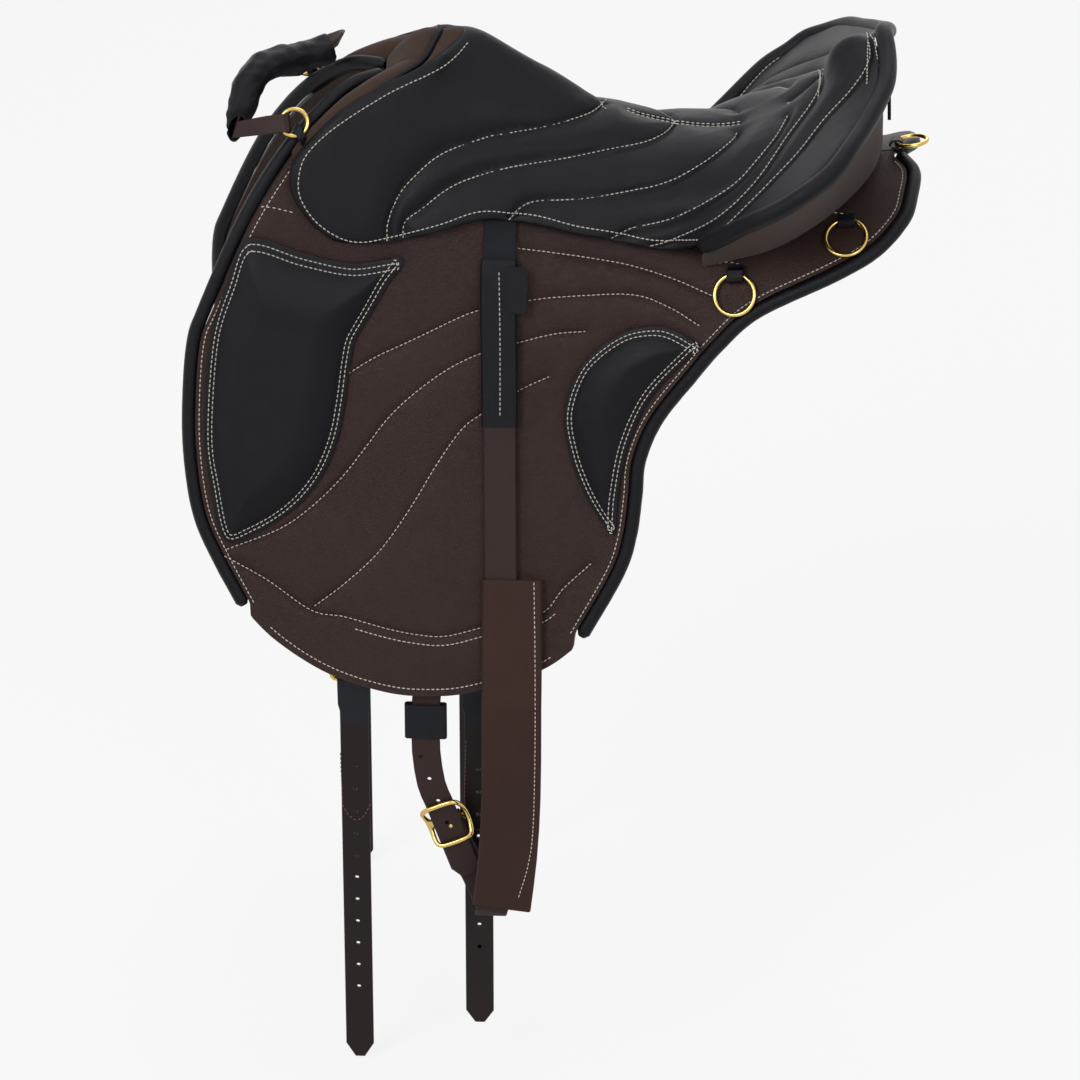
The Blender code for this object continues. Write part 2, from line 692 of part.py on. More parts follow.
def settled(flat, faces, pinned):
    """Heights of a sheet held at the pinned points and pushed up between them by its padding."""
    count = len(flat)
    stiff = np.zeros((count, count))
    push = np.zeros(count)
    for face in faces:
        for k in range(3):
            i, j, o = face[k], face[(k + 1) % 3], face[(k + 2) % 3]
            a = Vector(flat[i]) - Vector(flat[o])
            b = Vector(flat[j]) - Vector(flat[o])
            area = abs(a.cross(b))
            weight = a.dot(b) / max(area, TINY**2) / 2
            stiff[i, j] -= weight
            stiff[j, i] -= weight
            stiff[i, i] += weight
            stiff[j, j] += weight
            push[i] += load_at(flat[i][0]) * area / 6
    held = np.array([k in pinned for k in range(count)])
    heights = np.array([pinned.get(k, 0.0) for k in range(count)])
    free = ~held
    right = push[free] - stiff[np.ix_(free, held)] @ heights[held]
    heights[free] = np.linalg.solve(stiff[np.ix_(free, free)], right)
    return heights


def normals_at(points, faces):
    total = [Vector() for _ in points]
    for face in faces:
        a, b, c = (points[k] for k in face[:3])
        turn = (b - a).cross(points[face[-1]] - a)
        for k in face:
            total[k] += turn
    return [v.normalized() for v in total]


def thick_sheet(name, points, faces, depths, finish, straight=()):
    """A sheet given depth behind its face. The points in straight go straight down."""
    aims = normals_at(points, faces)
    for k in straight:
        aims[k] = UP
    below = [p - aim * depth for p, aim, depth in zip(points, aims, depths)]
    return walled(name, points, below, faces, finish)


def plan(line):
    return [(p.x, p.y) for p in line]


channels = [[(along_x(a), -out * CANTLE_HALF_WIDTH) for a, out in shares] for shares in CHANNEL_SHARES]
channels += [[(x, -y) for x, y in line] for line in channels]
cover_flat, cover_faces = blank(plan(whole_rim), [plan(centre_seam), *channels], STEP_COVER, STEP_COVER)
pinned = {}
for k, place in enumerate(cover_flat):
    for line in (whole_rim + whole_rim[:1], centre_seam):
        for a, b in zip(line, line[1:]):
            if distance_to(place, plan([a, b])) < TINY:
                share = (Vector(place) - a.xy).length / max((b.xy - a.xy).length, TINY)
                pinned[k] = a.z + (b.z - a.z) * share
cover_heights = settled(cover_flat, cover_faces, pinned)
sinks = [COVER_PUFF if any(distance_to(p, line) < TINY for line in channels) else 0.0 for p in cover_flat]
cover_points = [Vector((x, y, z - sink)) for (x, y), z, sink in zip(cover_flat, cover_heights, sinks)]
rim_plan = plan(seat_rim)
on_rim = [
    k for k, (x, y) in enumerate(cover_flat) if distance_to((x, -abs(y)), rim_plan) < TINY
]
thin_from = along_x(WAIST_THIN_SHARE)


def cover_depth(x, y):
    """The cover is thin along the waist's edge, where the hanger passes under it."""
    away = max(thin_from - x, 0.0) / STEP_ALONG
    inward = distance_to((x, -abs(y)), plan(near_rim)) / STEP_ALONG
    return COVER_THICKNESS * min(1.0, 0.6 + 0.4 * max(away, inward))


thick_sheet(
    "seat_cover",
    cover_points,
    cover_faces,
    [cover_depth(*p) - sink for p, sink in zip(cover_flat, sinks)],
    BLACK_LEATHER,
    on_rim,
)
cantle_line = spline([tuple(p) for p in rim_line], 2)
cantle_line = cantle_line + [(x, -y, z) for x, y, z in reversed(cantle_line[:-1])]
baked(tube("cantle_binding", cantle_line, RIM_RADIUS, BLACK_LEATHER))

# Cantle gusset: the soft wall under the cantle's rim, from the flap up to the binding.
CANTLE_FOOT_SHARES = [
    (0.710, 0.241), (0.746, 0.234), (0.801, 0.226), (0.843, 0.203),
    (0.881, 0.171), (0.910, 0.133), (0.938, 0.078), (0.951, 0.008),
]


def resample(line, count):
    """This many points evenly along a line of vectors."""
    runs = [(b - a).length for a, b in zip(line, line[1:])]
    total = sum(runs)
    made = [line[0].copy()]
    for k in range(1, count - 1):
        left = total * k / (count - 1)
        i = 0
        while left > runs[i]:
            left -= runs[i]
            i += 1
        made.append(line[i].lerp(line[i + 1], left / runs[i]))
    return made + [line[-1].copy()]


def mirrored(line):
    """A near-side line carried on over the centre to the off side."""
    return line + [Vector((p.x, -p.y, p.z)) for p in reversed(line[:-1])]


def gridded(rows):
    """The points of some rows and the four-cornered faces between them."""
    width = len(rows[0])
    points = [p for row in rows for p in row]
    faces = []
    for i in range(len(rows) - 1):
        for k in range(width - 1):
            faces.append((i * width + k, i * width + k + 1, (i + 1) * width + k + 1, (i + 1) * width + k))
    return points, faces


def grid_sheet(name, rows, thickness, finish):
    """A sheet through rows of points, with its face on the side that the first two rows wind round."""
    points, faces = gridded(rows)
    return thick_sheet(name, points, faces, [thickness] * len(points), finish)


foot_height = FLAP_THICKNESS + PAD_GAP + LEATHER / 2
foot_places = [(x, s, foot_height) for x, s in cut(CANTLE_FOOT_SHARES)]
foot_line = [Vector(p) for p in spline([tuple(draped(*p)) for p in foot_places], 2)]
foot_line.append(Vector((foot_line[-1].x, 0, foot_line[-1].z)))
foot = mirrored(resample(foot_line, 13))
rim = mirrored(resample([Vector(p) for p in spline([tuple(p) for p in rim_line], 2)], 13))
gusset_top = [r + (f - r).normalized() * (RIM_RADIUS + 3 * LEATHER) for f, r in zip(foot, rim)]
gusset_rows = [[f.lerp(t, k / 4) for f, t in zip(foot, gusset_top)] for k in range(5)]
grid_sheet("cantle_gusset", gusset_rows, LEATHER, NUBUCK)

# Pommel gusset: the soft front of the pommel, from the flaps up over the piping to the cover's front edge.
GUSSET_STATIONS = (4, 3, 2, 1, 0)
PIPING_SHARES = [
    (0.180, 0.102, 1.20), (0.210, 0.078, 1.42), (0.235, 0.056, 1.68),
    (0.262, 0.028, 2.37), (0.283, 0.010, 2.90),
]
GUSSET_TOP_SHARES = [
    (0.176, 0.115, 1.30), (0.204, 0.092, 1.57), (0.232, 0.070, 1.84),
    (0.263, 0.052, 2.21), (0.292, 0.034, 2.58),
]
CENTRE_FRONT_SHARES = [(0.306, 0.16), (0.286, 0.44), (0.322, 0.81), (0.346, 0.90), (0.378, 0.86)]


def lifted(shares, drop=0.0):
    return [draped(along_x(a), d * PANEL_DROP, n * SEAT_EDGE_LIFT - drop) for a, d, n in shares]


under_cover = COVER_THICKNESS + 2.8 * LEATHER
centre_front = []
for a, up in CENTRE_FRONT_SHARES:
    centre_front.append(Vector((along_x(a), 0, crest(along_x(a)) + up * POMMEL_HEIGHT)))
gusset_foot = inset(front_edge, -(BINDING_WIDTH + PAD_GAP))
foot_row = [draped(*gusset_foot[k], foot_height) for k in GUSSET_STATIONS] + centre_front[:1]
pipe_row = lifted(PIPING_SHARES) + centre_front[3:4]
top_row = lifted(GUSSET_TOP_SHARES, under_cover) + centre_front[4:5]
top_row[-1].z = tip.z - under_cover
top_row = [top.lerp(pipe, 0.35) for top, pipe in zip(top_row, pipe_row)]
front_bulge = centre_front[1] - centre_front[0].lerp(centre_front[3], 0.4)
columns = []
for foot_point, pipe_point, top_point in zip(foot_row, pipe_row, top_row):
    share = (pipe_point - foot_point).length / (centre_front[3] - centre_front[0]).length
    low = foot_point.lerp(pipe_point, 0.4) + front_bulge * share
    high = foot_point.lerp(pipe_point, 0.75) + front_bulge * share * 0.9
    columns.append([foot_point, low, high, pipe_point, top_point])
rows = [[Vector(p) for p in spline([tuple(column[k]) for column in columns], 2)] for k in range(5)]
rows = [mirrored(row) for row in rows]
grid_sheet("pommel_gusset", rows, LEATHER, NUBUCK)
outward = normals_at(*gridded(rows))[3 * len(rows[0]) : 4 * len(rows[0])]
piping = [p + aim * (PIPING_RADIUS * 2.2 + 2 * FIT) for p, aim in zip(rows[3], outward)][3:-3]
baked(tube("pommel_piping", piping, PIPING_RADIUS, BLACK_LEATHER, sides=1))

# Core of the seat: the foam body that carries the cover from the pommel to the bowl, and the wedge behind it.
graph = bpy.context.evaluated_depsgraph_get()
graph.update()


def surface_of(name):
    made = bpy.data.objects[name]
    mesh = made.evaluated_get(graph).data
    return BVHTree.FromPolygons(
        [made.matrix_world @ v.co for v in mesh.vertices], [tuple(f.vertices) for f in mesh.polygons]
    )


floors = [surface_of("flap_near"), surface_of("flap_off")]
ceilings = [surface_of(name) for name in ("seat_cover", "pommel_gusset", "cantle_gusset")]
FAR = PANEL_LENGTH


def floor_at(x, y):
    start = Vector((x, y, FAR))
    hits = []
    for tree in floors:
        place, facing, _, _ = tree.ray_cast(start, -UP)
        if place:
            hits.append(place.z + SEAT_GAP / max(abs(facing.z), 0.3))
    return max(hits, default=draped(x, abs(y), FLAP_THICKNESS + SEAT_GAP).z)


def filled(x, y):
    """The lower and upper height of the padding at a place in plan."""
    low = floor_at(x, y)
    start = Vector((x, y, low))
    hits = []
    for tree in ceilings:
        place, facing, _, _ = tree.ray_cast(start, UP)
        if place:
            hits.append(place.z - SEAT_GAP / max(abs(facing.z), 0.4))
    return low, max(min(hits, default=low), low + LEATHER)


def filling(name, outline, finish):
    both = outline + [(x, -y) for x, y in reversed(outline[1:-1])]
    start, end = outline[0][0], outline[-1][0]
    spine_line = [(start + (end - start) * k / 9, 0.0) for k in range(1, 9)]
    sewn_body(
        name,
        blank(both, [spine_line], STEP_CORE, STEP_CORE),
        lambda x, y: Vector((x, y, filled(x, y)[0])),
        lambda x, y: Vector((x, y, filled(x, y)[1])),
        finish,
    )


CORE_SHARES = [
    (0.368, 0.00), (0.368, 0.10), (0.355, 0.18), (0.350, 0.26), (0.365, 0.32), (0.400, 0.34),
    (0.480, 0.36), (0.580, 0.41), (0.660, 0.47), (0.715, 0.50), (0.715, 0.00),
]
WEDGE_SHARES = [
    (0.722, 0.00), (0.722, 0.50), (0.780, 0.55), (0.830, 0.51),
    (0.870, 0.42), (0.900, 0.32), (0.918, 0.18), (0.922, 0.00),
]
filling("seat_core", [(along_x(a), -out * CANTLE_HALF_WIDTH) for a, out in CORE_SHARES], FOAM)
filling("cantle_wedge", [(along_x(a), -out * CANTLE_HALF_WIDTH) for a, out in WEDGE_SHARES], FOAM)

# Hanging straps. Down to the flap's lower edge they follow the drape, and below it they hang straight down.
HEM_SHARE = 1.014
hem = HEM_SHARE * PANEL_DROP


def hung(x, s, height):
    """A point on a strap that follows the drape as far as the hem and hangs down from there."""
    if s <= hem:
        return draped(x, s, height)
    return draped(x, hem, height) - UP * (s - hem)


def path(points):
    return [Vector(p) for p in spline([tuple(p) for p in points], 2)]


def flat_stations(line, width, thickness, side=Vector((1, 0, 0))):
    """Stations of a strap that keeps its width and lies the same way all along a line."""
    return [(p, side, width, thickness) for p in line]


def strap_along(name, places, width, thickness, finish):
    """A strap whose places are (share along, share down, height above the drape)."""
    middle = path([hung(along_x(a), d * PANEL_DROP, h) for a, d, h in places])
    return strap(name, flat_stations(middle, width, thickness), finish)


def hollow(name, stations, wall, finish):
    """A sleeve through stations of (centre, across, width, thickness)."""
    rings = []
    for i, (centre, side, width, thickness) in enumerate(stations):
        before = stations[max(i - 1, 0)][0]
        after = stations[min(i + 1, len(stations) - 1)][0]
        run = (after - before).normalized()
        side = (side - run * side.dot(run)).normalized()
        deep = run.cross(side)
        outer = section(width, thickness, side, deep, centre)
        inner = section(width - 2 * wall, thickness - 2 * wall, side, deep, centre)
        rings.append(outer + inner)
    return sleeve_body(name, rings, finish)


SLEEVE_WALL = 0.0012
SLEEVE_DEPTH = STRAP_THICKNESS + 2 * SLEEVE_WALL + 4 * FIT
LOOP_HEIGHT = FLAP_THICKNESS + FLAP_PUFF + DRAPE_GAP + SLEEVE_DEPTH / 2
FENDER_DEPTH = SLEEVE_DEPTH + SLEEVE_WALL / 2
WEB_THICKNESS = 0.0018
BEHIND_HEIGHT = -DRAPE_GAP - 2 * STRAP_THICKNESS
BILLET_HEIGHT = BEHIND_HEIGHT - 5 * STRAP_THICKNESS
HANGER_ALONG_SHARE = 0.432
HANGER_DOWN_SHARE = 0.150
BALANCE_SHARE = 0.4215

hanger_pivot = draped(along_x(BALANCE_SHARE), HANGER_DOWN_SHARE * PANEL_DROP, FLAP_THICKNESS + WEB_THICKNESS)
web_low = FLAP_THICKNESS + PAD_GAP + WEB_THICKNESS / 2
web_high = LOOP_HEIGHT - SLEEVE_DEPTH / 2 + SLEEVE_WALL + FIT + WEB_THICKNESS / 2
WEB_DOWN_SHARES = (0.125, 0.160, 0.195, 0.215, 0.240)
web_heights = (web_low, web_low, web_low + WEB_THICKNESS, web_high, web_high)
both_sides(
    strap_along(
        "hanger_webbing_near",
        [(HANGER_ALONG_SHARE, down, height) for down, height in zip(WEB_DOWN_SHARES, web_heights)],
        LEATHER_WIDTH - 2 * FIT,
        WEB_THICKNESS,
        WEBBING,
    ),
    "stirrup_pivot",
    hanger_pivot,
)

# Stirrup strap: down the flap inside its sleeves, round the bottom of the loop and up to the buckle.
FALL_SHARES = [
    (0.432, 0.243), (0.432, 0.270), (0.433, 0.320), (0.435, 0.40),
    (0.438, 0.60), (0.442, 0.85), (0.443, 0.98),
    (0.443, 1.014), (0.444, 1.06), (0.443, 1.20), (0.4385, 1.323), (0.433, 1.42),
]
LOOP_DROP_SHARE = 1.435
LOOP_TURN = 0.0105
LOOP_TURNS = (0.3, 0.9, 1.57, 2.2, 2.8)
FOLD_TURNS = (3.14, 2.35, 1.57, 0.8, 0)
RISE_SHARES = (2.4, 1.6, 0.7)
TAIL_SHARES = (0.3, 0.6)
BUCKLE_SHARES = (0.3655, 1.275)
BUCKLE_LEAN = math.radians(24)
BAR_RADIUS = 0.0019
FRAME_RADIUS = 0.0024
FRAME_HALF_WIDTH = 0.0182
FRAME_HALF_HEIGHT = 0.0200
fall = [hung(along_x(a), d * PANEL_DROP, LOOP_HEIGHT) for a, d in FALL_SHARES]
outer_y = fall[-1].y
turn_x = along_x(0.428)
turn_z = hung(0, LOOP_DROP_SHARE * PANEL_DROP, LOOP_HEIGHT).z
buckle_z = hung(0, BUCKLE_SHARES[1] * PANEL_DROP, LOOP_HEIGHT).z
buckle_x = along_x(BUCKLE_SHARES[0])
lean = Vector((-math.sin(BUCKLE_LEAN), 0, math.cos(BUCKLE_LEAN)))
inner_y = outer_y + 2 * LOOP_TURN
bar_y = inner_y + STRAP_THICKNESS / 2 + FIT + BAR_RADIUS
bar_centre = Vector((buckle_x, bar_y, buckle_z))
wrap = BAR_RADIUS + FIT + STRAP_THICKNESS / 2
turn = []
for a in LOOP_TURNS:
    turn.append(Vector((turn_x, outer_y + LOOP_TURN * (1 - math.cos(a)), turn_z - LOOP_TURN * math.sin(a))))
turn[-1].x -= LEATHER
rise = [bar_centre - lean * (BILLET_WIDTH * share) for share in RISE_SHARES]
for place in rise:
    place.y = inner_y
around = []
for a in reversed(FOLD_TURNS):
    around.append(bar_centre + (Vector((0, -math.cos(a), 0)) + lean * math.sin(a)) * wrap)
tail = [around[-1] - lean * (BILLET_WIDTH * share) for share in TAIL_SHARES]
bend = path(fall + turn)
back = path(rise)
stations = flat_stations(bend, LEATHER_WIDTH, STRAP_THICKNESS)
slanted = Vector((math.cos(BUCKLE_LEAN), 0, math.sin(BUCKLE_LEAN)))
stations += flat_stations(back + around + tail, BILLET_WIDTH, STRAP_THICKNESS, slanted)
both_sides(strap("stirrup_strap_near", stations, STRAP_LEATHER), "stirrup_pivot", hanger_pivot)

SLEEVE_SHARES = [(0.432, 0.228), (0.432, 0.26), (0.433, 0.32), (0.435, 0.40), (0.4365, 0.505)]
sleeve = path([hung(along_x(a), d * PANEL_DROP, LOOP_HEIGHT) for a, d in SLEEVE_SHARES])
both_sides(
    hollow("hanger_sleeve_near", flat_stations(sleeve, SLEEVE_WIDTH, SLEEVE_DEPTH), SLEEVE_WALL, BLACK_LEATHER),
    "stirrup_pivot",
    hanger_pivot,
)
FENDER_SHARES = [
    (0.457, 0.78), (0.458, 0.98), (0.458, 1.014), (0.458, 1.06), (0.457, 1.20), (0.452, 1.323), (0.443, 1.43),
]
fender = path([hung(along_x(a), d * PANEL_DROP, LOOP_HEIGHT) for a, d in FENDER_SHARES])
fender_stations = flat_stations(fender, FENDER_WIDTH, FENDER_DEPTH)
both_sides(
    hollow("fender_sleeve_near", fender_stations, SLEEVE_WALL, FENDER_LEATHER),
    "stirrup_pivot",
    hanger_pivot,
)

# Holed strap: behind the flap from under the seat, out below the hem and down through the buckle.
HOLED_SHARES = [
    (0.433, 0.43), (0.420, 0.50), (0.385, 0.75), (0.345, 0.95), (0.338, 1.014), (0.337, 1.05), (0.337, 1.12),
]
FALL_TO_BUCKLE_SHARES = (-1.5, -0.8, 0, 0.9, 1.7)
HOLED_TIP_SHARES = (0.35, 0.5)
holed_y = inner_y - STRAP_THICKNESS - FIT
holed = [hung(along_x(a), d * PANEL_DROP, BEHIND_HEIGHT) for a, d in HOLED_SHARES]
down = Vector((math.sin(BUCKLE_LEAN * 0.8), 0, -math.cos(BUCKLE_LEAN * 0.8)))
through = Vector((buckle_x, holed_y, buckle_z))
holed += [through + down * (LEATHER_WIDTH * share) for share in FALL_TO_BUCKLE_SHARES]
holed = path(holed)
stations = flat_stations(holed, BILLET_WIDTH, STRAP_THICKNESS)
tip_run, tip_width = HOLED_TIP_SHARES
holed_tip = holed[-1] + down * (LEATHER_WIDTH * tip_run)
stations += flat_stations([holed_tip], BILLET_WIDTH * tip_width, STRAP_THICKNESS)
holed_strap = strap("holed_strap_near", stations, STRAP_LEATHER)


def hole_cutters(name, places, axis, radius, depth):
    """Pins for the strap holes, as one cutter."""
    points, faces = [], []
    side = axis.orthogonal().normalized()
    over = axis.cross(side)
    count = 10
    for centre in places:
        start = len(points)
        for end in (-1, 1):
            for k in range(count):
                turned = 2 * math.pi * k / count
                spoke = side * math.cos(turned) + over * math.sin(turned)
                points.append(centre + axis * depth * end + spoke * radius)
        faces.append(tuple(range(start + count - 1, start - 1, -1)))
        faces.append(tuple(range(start + count, start + 2 * count)))
        for k in range(count):
            after = (k + 1) % count
            faces.append((start + k, start + after, start + count + after, start + count + k))
    cutter = mesh_object(name, points, faces, BRASS, cutters)
    cutter.hide_render = True
    cutter.display_type = "WIRE"
    return cutter


hole_places = [through - down * (HOLE_PITCH * k) for k in (0, 1, 2, 3)]
holed_strap = joined(
    holed_strap,
    hole_cutters("holed_strap_cutter", hole_places, Vector((0, 1, 0)), HOLE_RADIUS, STRAP_THICKNESS),
    "DIFFERENCE",
)
both_sides(holed_strap, "stirrup_pivot", hanger_pivot)

# Buckle: a bowed frame whose ends pass in front of the holed strap, with the centre bar behind it.
front_y = holed_y - STRAP_THICKNESS / 2 - FIT - FRAME_RADIUS
FRAME_SHARES = [
    (-1, 0), (-1, 0.45), (-0.97, 0.8), (-0.78, 1), (0, 1.0), (0.78, 1), (0.97, 0.8), (1, 0.45),
    (1, 0), (1, -0.45), (0.97, -0.8), (0.78, -1), (0, -1.0), (-0.78, -1), (-0.97, -0.8), (-1, -0.45),
]
BOW_FROM_SHARE = 0.9
BOW_RUN_SHARE = 0.6
frame_points = []
for across_share, along_share in FRAME_SHARES:
    bow = min(1.0, max(0.0, (BOW_FROM_SHARE - abs(along_share)) / BOW_RUN_SHARE))
    place = bar_centre + slanted * (FRAME_HALF_WIDTH * across_share) + lean * (FRAME_HALF_HEIGHT * along_share)
    place.y = front_y + (bar_y - front_y) * bow
    frame_points.append(place)
frame = baked(tube("buckle_frame_near", frame_points, FRAME_RADIUS, BRASS, sides=1, cyclic=True))
bar_ends = [bar_centre + slanted * (FRAME_HALF_WIDTH * k) for k in (-1, 1)]
bar = baked(tube("buckle_bar", bar_ends, BAR_RADIUS, BRASS, sides=1))
both_sides(joined(frame, bar), "stirrup_pivot", hanger_pivot)

# Strap keeper: the elastic ring that holds the fall together below the hem.
KEEPER_SHARES = [(0.337, 1.022), (0.337, 1.09)]
KEEPER_WIDTH = 0.0376
KEEPER_DEPTH = 0.0078
keeper_line = [hung(along_x(a), d * PANEL_DROP, BEHIND_HEIGHT) for a, d in KEEPER_SHARES]
both_sides(
    hollow("strap_keeper_near", flat_stations(keeper_line, KEEPER_WIDTH, KEEPER_DEPTH), SLEEVE_WALL, WEBBING),
    "stirrup_pivot",
    hanger_pivot,
)

# Girth billets: a webbing fold on each rigging ring, narrowing into a long holed strap.
RIGGING_WIRE = 0.0021
RIGGING_WIDTH = 0.041
RIGGING_HEIGHT = 0.024
RIGGING_DOWN_SHARE = 0.988
BILLET_SHARES = {"front": (0.235, 1.0), "rear": (0.408, 0.89)}
BILLET_HOLES = {"front": HOLE_COUNT, "rear": HOLE_COUNT - 2}
FIRST_HOLE_SHARE = 2.7
BILLET_OUTLINE_SHARES = [(0.02, 1.0, 1.0), (0.5, 1.0, 1.0), (0.962, 1.0, 1.0), (1.0, 0.35, 0.7)]
YOKE_DOWN_SHARE = 0.345
LEG_SHARES = (0.373, 0.382, 0.412)
FOLD_END_SHARE = 1.1
WEB_END_SHARE = 0.7


def billet(name, share, reach, holes):
    x = along_x(share)
    wire = draped(x, RIGGING_DOWN_SHARE * PANEL_DROP, BILLET_HEIGHT)
    slope = back_normal(x, RIGGING_DOWN_SHARE * PANEL_DROP)
    up_slope = slope.cross(Vector((1, 0, 0))).normalized()
    if up_slope.z < 0:
        up_slope = -up_slope
    # The ring: a rounded oblong of brass wire lying behind the flap.
    corners = []
    half_w, half_h, ease = RIGGING_WIDTH / 2, RIGGING_HEIGHT / 2, RIGGING_HEIGHT / 4
    for sx, sz in ((-1, -1), (-1, 1), (1, 1), (1, -1)):
        for k in range(3):
            start = {(-1, -1): math.pi * 1.5, (-1, 1): math.pi, (1, 1): math.pi / 2, (1, -1): 0}[(sx, sz)]
            a = start - k * math.pi / 4
            out = sx * (half_w - ease) + ease * math.cos(a)
            high = sz * (half_h - ease) + ease * math.sin(a)
            corners.append(wire + Vector((1, 0, 0)) * out + UP * (high + half_h))
    top_bar = wire + UP * RIGGING_HEIGHT
    rigging = tube(f"{name}_rigging_ring_near", corners, RIGGING_WIRE, BRASS, sides=1, cyclic=True)
    both_sides(rigging, f"{name}_billet_pivot", top_bar)
    # The strap: down from its folded end behind the wire, over it, and on down to its point.
    fold = RIGGING_WIRE + 2 * FIT + WEB_THICKNESS / 2
    loop = [wire + (slope * math.cos(a) + up_slope * math.sin(a)) * fold for a in FOLD_TURNS]
    web_end = loop[0] - UP * (BILLET_WIDTH * FOLD_END_SHARE)
    web_end += slope * (fold - WEB_THICKNESS / 2 - STRAP_THICKNESS)
    drop = loop[-1] - UP * BILLET_WIDTH
    drop.y = wire.y
    lead = path([web_end, web_end.lerp(loop[0], 0.6)]) + loop
    width = BILLET_WIDTH + 2 * WEB_THICKNESS
    top = drop.z
    leather_y = drop.y - FIT
    stations = flat_stations(lead + [Vector((x, leather_y, top))], width, WEB_THICKNESS)
    for down_share, wide, thick in BILLET_OUTLINE_SHARES:
        place = Vector((x, leather_y, top - reach * BILLET_LENGTH * down_share))
        stations += flat_stations([place], BILLET_WIDTH * wide, STRAP_THICKNESS * thick)
    made = strap(f"{name}_billet_near", stations, BILLET_LEATHER)
    first = top - FIRST_HOLE_SHARE * HOLE_PITCH
    places = [Vector((x, leather_y, first - HOLE_PITCH * k)) for k in range(holes)]
    reach = 2 * STRAP_THICKNESS
    cutter = hole_cutters(f"{name}_billet_cutter", places, Vector((0, 1, 0)), HOLE_RADIUS, reach)
    made = joined(made, cutter, "DIFFERENCE")
    both_sides(made, f"{name}_billet_pivot", top_bar)
    # Its hanger's leg: a web sewn flat behind the flap, down to the ring's top bar and round it.
    hook = [top_bar + (up_slope * math.sin(a) - slope * math.cos(a)) * fold for a in FOLD_TURNS]
    flat = [draped(x, down_share * PANEL_DROP, yoke_height) for down_share in LEG_SHARES]
    deep = hook[0] + up_slope * (flat[-1] - hook[0]).dot(up_slope)
    ends = [hook[-1] + up_slope * BILLET_WIDTH * WEB_END_SHARE - (hook[-1] - hook[0]) / 10]
    leg = flat[:-1] + [deep] + hook + ends
    return draped(x, YOKE_DOWN_SHARE * PANEL_DROP, yoke_height), leg


yoke_height = -FIT - WEB_THICKNESS / 2
made = [billet(end, share, reach, BILLET_HOLES[end]) for end, (share, reach) in BILLET_SHARES.items()]
corners, legs = zip(*made)
# The yoke: one web up from the front ring, along behind the flap with mitred corners, down to the rear ring.
along = (corners[1] - corners[0]).normalized()
down = (legs[0][0] - corners[0]).normalized()
turn_in = (legs[0][0] - corners[0]).length
mitre = BILLET_WIDTH * math.sqrt(2)
stations = flat_stations(legs[0][::-1], BILLET_WIDTH, WEB_THICKNESS, along)
stations += flat_stations(corners[:1], mitre, WEB_THICKNESS, along + down)
band = [corners[0] + along * turn_in, corners[1] - along * turn_in]
stations += flat_stations(band, BILLET_WIDTH, WEB_THICKNESS, down)
stations += flat_stations(corners[1:], mitre, WEB_THICKNESS, down - along)
stations += flat_stations(legs[1], BILLET_WIDTH, WEB_THICKNESS, -along)
yoke = strap("girth_yoke_near", stations, WEBBING)
both_sides(yoke, leads=True)


# Rings on leather tabs: each tab is folded round its ring and sewn flat to the flap.
TAB_GAP = 0.0009
TAB_WIDTH_SHARE = 0.8
GRAB_TAB_WIDTH_SHARE = 0.6


def tab_and_ring(name, shares, radius, reach, heading=(0, 1), rest_lift=0.0, base=FLAP_THICKNESS, gap=TAB_GAP):
    """A tab and its ring. heading is the way the ring hangs, and base the height of what carries the tab."""
    x, s = along_x(shares[0]), shares[1] * PANEL_DROP
    wire = RING_WIRE
    width = (TAB_WIDTH_SHARE if radius > GRAB_RING_RADIUS else GRAB_TAB_WIDTH_SHARE) * radius
    thick = WEB_THICKNESS
    low = base + gap + thick / 2
    wire_height = low + thick / 2 + 2 * FIT + wire
    fold = wire + 2 * FIT + thick / 2
    slack = radius - math.sqrt(radius**2 - (width / 2 + FIT) ** 2) + 5 * FIT

    def at(reach, height):
        return draped(x + heading[0] * reach, s + heading[1] * reach, height)

    side = (draped(x + heading[1] * wire, s - heading[0] * wire) - draped(x, s)).normalized()
    upper = low + thick + FIT
    start = -fold - reach
    outline = [at(start, low), at(start / 2, low), at(slack, low)]
    outline += [at(slack + fold * math.sin(a), wire_height - fold * math.cos(a)) for a in (0.8, 1.57, 2.35)]
    outline += [at(slack, wire_height + fold), at(-wire, wire_height + fold)]
    outline.append(at(-fold - thick, upper + thick / 2))
    outline.append(at(start - thick / 2, upper + FIT))
    tab = strap(f"{name}_tab", [(p, side, width, thick) for p in outline], BLACK_LEATHER)
    top = at(0, wire_height)
    rest = at(2 * radius, base + LEATHER + wire + rest_lift)
    aim = side.cross(rest - top).normalized()
    if aim.z < 0:
        aim = -aim
    centre = top + (rest - top).normalized() * radius
    made = ring(f"{name}_ring", centre, aim, radius, wire, segments=18)
    return tab, made, top


RING_SHARES = {"a": (0.757, 0.256), "b": (0.903, 0.181)}
TAB_REACHES = {"a": 0.004, "b": 0.001}
GRAB_TAB_SHARES = (0.159, 0.1165)
GRAB_HEADING = (-0.75, -0.66)
CRUPPER_TAB_SHARES = (0.968, 0.0)
for letter, shares in RING_SHARES.items():
    tab, made, top = tab_and_ring(
        f"rear_{letter}_near", shares, RING_RADIUS, TAB_REACHES[letter], rest_lift=DRAPE_GAP
    )
    both_sides(tab)
    both_sides(made, f"rear_{letter}_pivot", top)
binding_top = FLAP_THICKNESS / 2 + BINDING_RADIUS
tab, grab_ring, top = tab_and_ring(
    "handle_near", GRAB_TAB_SHARES, GRAB_RING_RADIUS, 2 * FIT, GRAB_HEADING, base=binding_top, gap=PAD_GAP
)
both_sides(tab)
grab_centre = grab_ring.matrix_world.translation.copy()
grab_aim = (grab_ring.matrix_world.to_3x3() @ UP).normalized()
both_sides(grab_ring)
